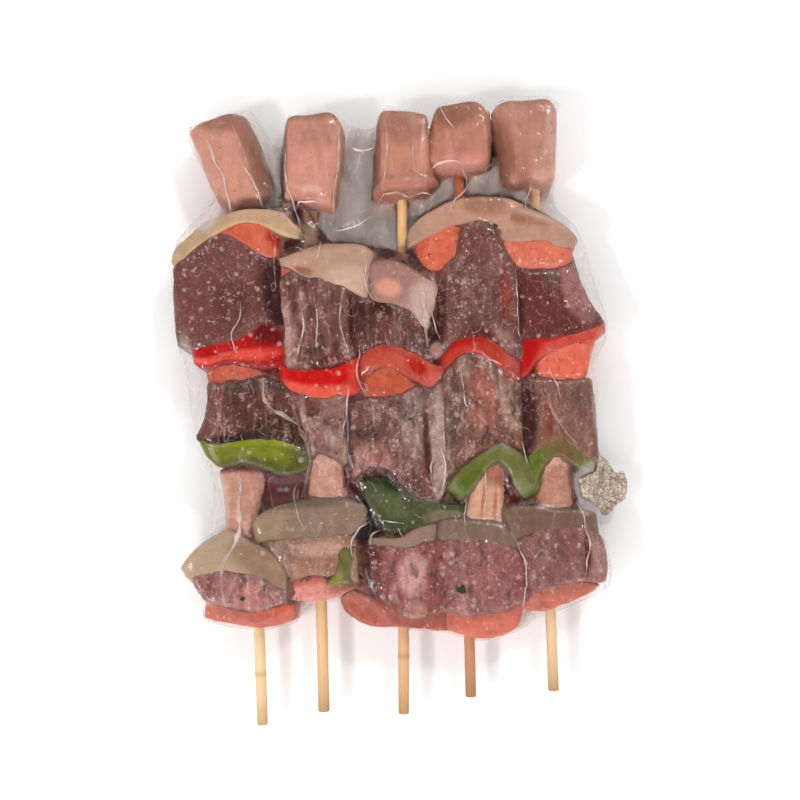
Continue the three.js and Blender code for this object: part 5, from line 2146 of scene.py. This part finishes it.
PLEATS = (
    Pleat(((-83, 113), (-76, 97), (-71, 80)), 1.44, 0.5),
    Pleat(((-68, 104), (-63, 95), (-58, 83)), 0.86),
    Pleat(((-48, 121), (-49, 99), (-47, 89), (-41, 71)), 0.72),
    Pleat(((-26, 119), (-27, 104), (-29, 76)), 1.01),
    Pleat(((-7, 123), (-6, 102), (-8, 91)), 0.72),
    Pleat(((5, 112), (6, 99)), 0.58, 0.4),
    Pleat(((17, 128), (20, 121), (23, 117)), 0.72),
    Pleat(((35, 128), (38, 123)), 0.58),
    Pleat(((26, 102), (28, 93), (23, 86), (19, 78)), 0.72),
    Pleat(((56, 97), (55, 91), (53, 86), (54, 81), (59, 80)), 0.65),
    Pleat(((-53, 69), (-53, 60), (-53, 48)), 0.72),
    Pleat(((-45, 66), (-40, 64)), 0.58),
    Pleat(((-34, 69), (-35, 63), (-37, 60)), 0.65),
    Pleat(((-14, 63), (-15, 54), (-14, 48), (-12, 43)), 0.72),
    Pleat(((-68, 43), (-67, 36), (-71, 29), (-70, 23), (-67, 20)), 0.65),
    Pleat(((-23, 52), (-25, 36), (-22, 22), (-20, 16)), 0.72),
    Pleat(((-17, 24), (-18, 12), (-14, 1)), 0.65),
    Pleat(((9, 48), (10, 39), (11, 23)), 2.6, 0.5),
    Pleat(((13, 39), (17, 26)), 0.65),
    Pleat(((-22, 7), (-22, 1), (-24, -16)), 0.65),
    Pleat(((-22, 1), (-22, -20), (-19, -30)), 1.15, 0.4, tone="8d8791"),
    Pleat(((-47, 3), (-42, -11), (-39, -18), (-38, -28), (-42, -40)), 1.87, 0.4, tone="8f6a58"),
    Pleat(((-43, -34), (-44, -40), (-40, -54)), 0.65),
    Pleat(((-67, -28), (-67, -45), (-68, -57), (-74, -71), (-71, -86)), 1.73, 0.5),
    Pleat(((25, 16), (27, 1), (29, -2)), 0.58),
    Pleat(((-8, -49), (2, -51)), 0.65),
    Pleat(((-2, -52), (1, -57)), 0.58),
    Pleat(((-20, -65), (-20, -59), (-18, -53), (-12, -49)), 0.72),
    Pleat(((-13, -61), (-12, -55), (-8, -53)), 0.58),
    Pleat(((-15, -68), (-11, -77), (-9, -82)), 1.15, 0.45, tone="8d8791"),
    Pleat(((27, -40), (27, -57)), 0.58),
    Pleat(((47, -55), (52, -69), (50, -86)), 0.65),
    Pleat(((73, -40), (78, -59), (74, -77)), 0.65),
    Pleat(((62, 16), (67, 1)), 0.58),
    Pleat(((50, -16), (53, -27)), 0.65),
    Pleat(((48, 56), (50, 26)), 0.65),
    Pleat(((-28, 74), (-21, 77), (-12, 82)), 1.01, 0.8, tone="f4efec"),
    Pleat(((-42, 43), (-41, 31), (-43, 18)), 0.86, 0.6),
    Pleat(((-36, 46), (-35, 31), (-35, 17)), 0.65),
    Pleat(((35, -26), (36, -36), (34, -50)), 0.58, 0.5),
    Pleat(((16, -18), (13, -28), (15, -40)), 0.8, 0.7),
    Pleat(((16, -18), (19, -28), (16, -40)), 0.8, 0.7),
    # film folds along the rims of the frankfurters' near ends, their pale tone a painted highlight
    Pleat(((13, 100), (16, 102), (21, 103), (27, 103)), 0.8, 0.6, tone="f0cabb"),
    Pleat(((-10, 85), (-8, 89), (-4, 90), (1, 89), (4, 88)), 0.7, 0.55, tone="ecc0b0"),
    Pleat(((3, 88), (7, 90), (11, 90), (16, 89)), 0.7, 0.5, tone="ecc0b0"),
    Pleat(((-44, 84), (-43, 86), (-40, 86), (-35, 85)), 0.8, 0.7, tone="f2d2c4"),
    Pleat(((-21, 112), (-17, 111), (-11, 110)), 1.2, 0.8, tone="e8dfdc"),
    Pleat(((-58, 10), (-57, 2), (-53, -3), (-48, -6), (-41, -10)), 1.5, 0.6, tone="bca797"),
    Pleat(((60, 8), (63, -2), (69, -12), (74, -20)), 2.2, 0.35, tone="b89484"),
)

LEAVES = (
    Leaf(25, -77, 5, -20), Leaf(-65, -81, 2.4, 30), Leaf(40, 75, 3, 10), Leaf(14, 25, 3, 80),
    Leaf(4, -7, 1.6, 0), Leaf(-25, -7, 1.4, 60), Leaf(-63, -9, 1.4, 20), Leaf(12, 63, 1.2, 0),
)

FLAP = Flap(
    (
        (84, -20), (88, -23), (92, -29), (95, -28), (97, -32), (97, -36), (96, -40), (91, -44),
        (88, -47), (86, -47), (82, -42), (76, -39), (74, -32), (81, -29),
    )
)


def main() -> None:
    """Builds the pack round its frame, from the studio to the film."""
    logging.basicConfig(level=logging.INFO, format="%(message)s")
    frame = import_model()
    Studio().set_up()
    materials = Materials()
    materials.make()
    sheets: list[Sheet] = []
    for number, skewer in enumerate(SKEWERS, 1):
        skewer.locate(frame)
        sheets += skewer.build(number, materials)
    FILM.place(SKEWERS[0].handle)
    FILM.settle(sheets)
    JUICE_AND_SHADE.settle(FILM, sheets)
    JUICE_AND_SHADE.build(materials)
    FILM.build(JUICE_AND_SHADE, materials)
    joined(PLEATS, 600).build("film_pleats", materials.pleats, "film")
    joined(LEAVES, 700).build("herb_flakes", materials.leaf, "herb")
    FLAP.build(FILM, materials)


if __name__ == "__main__":
    main()
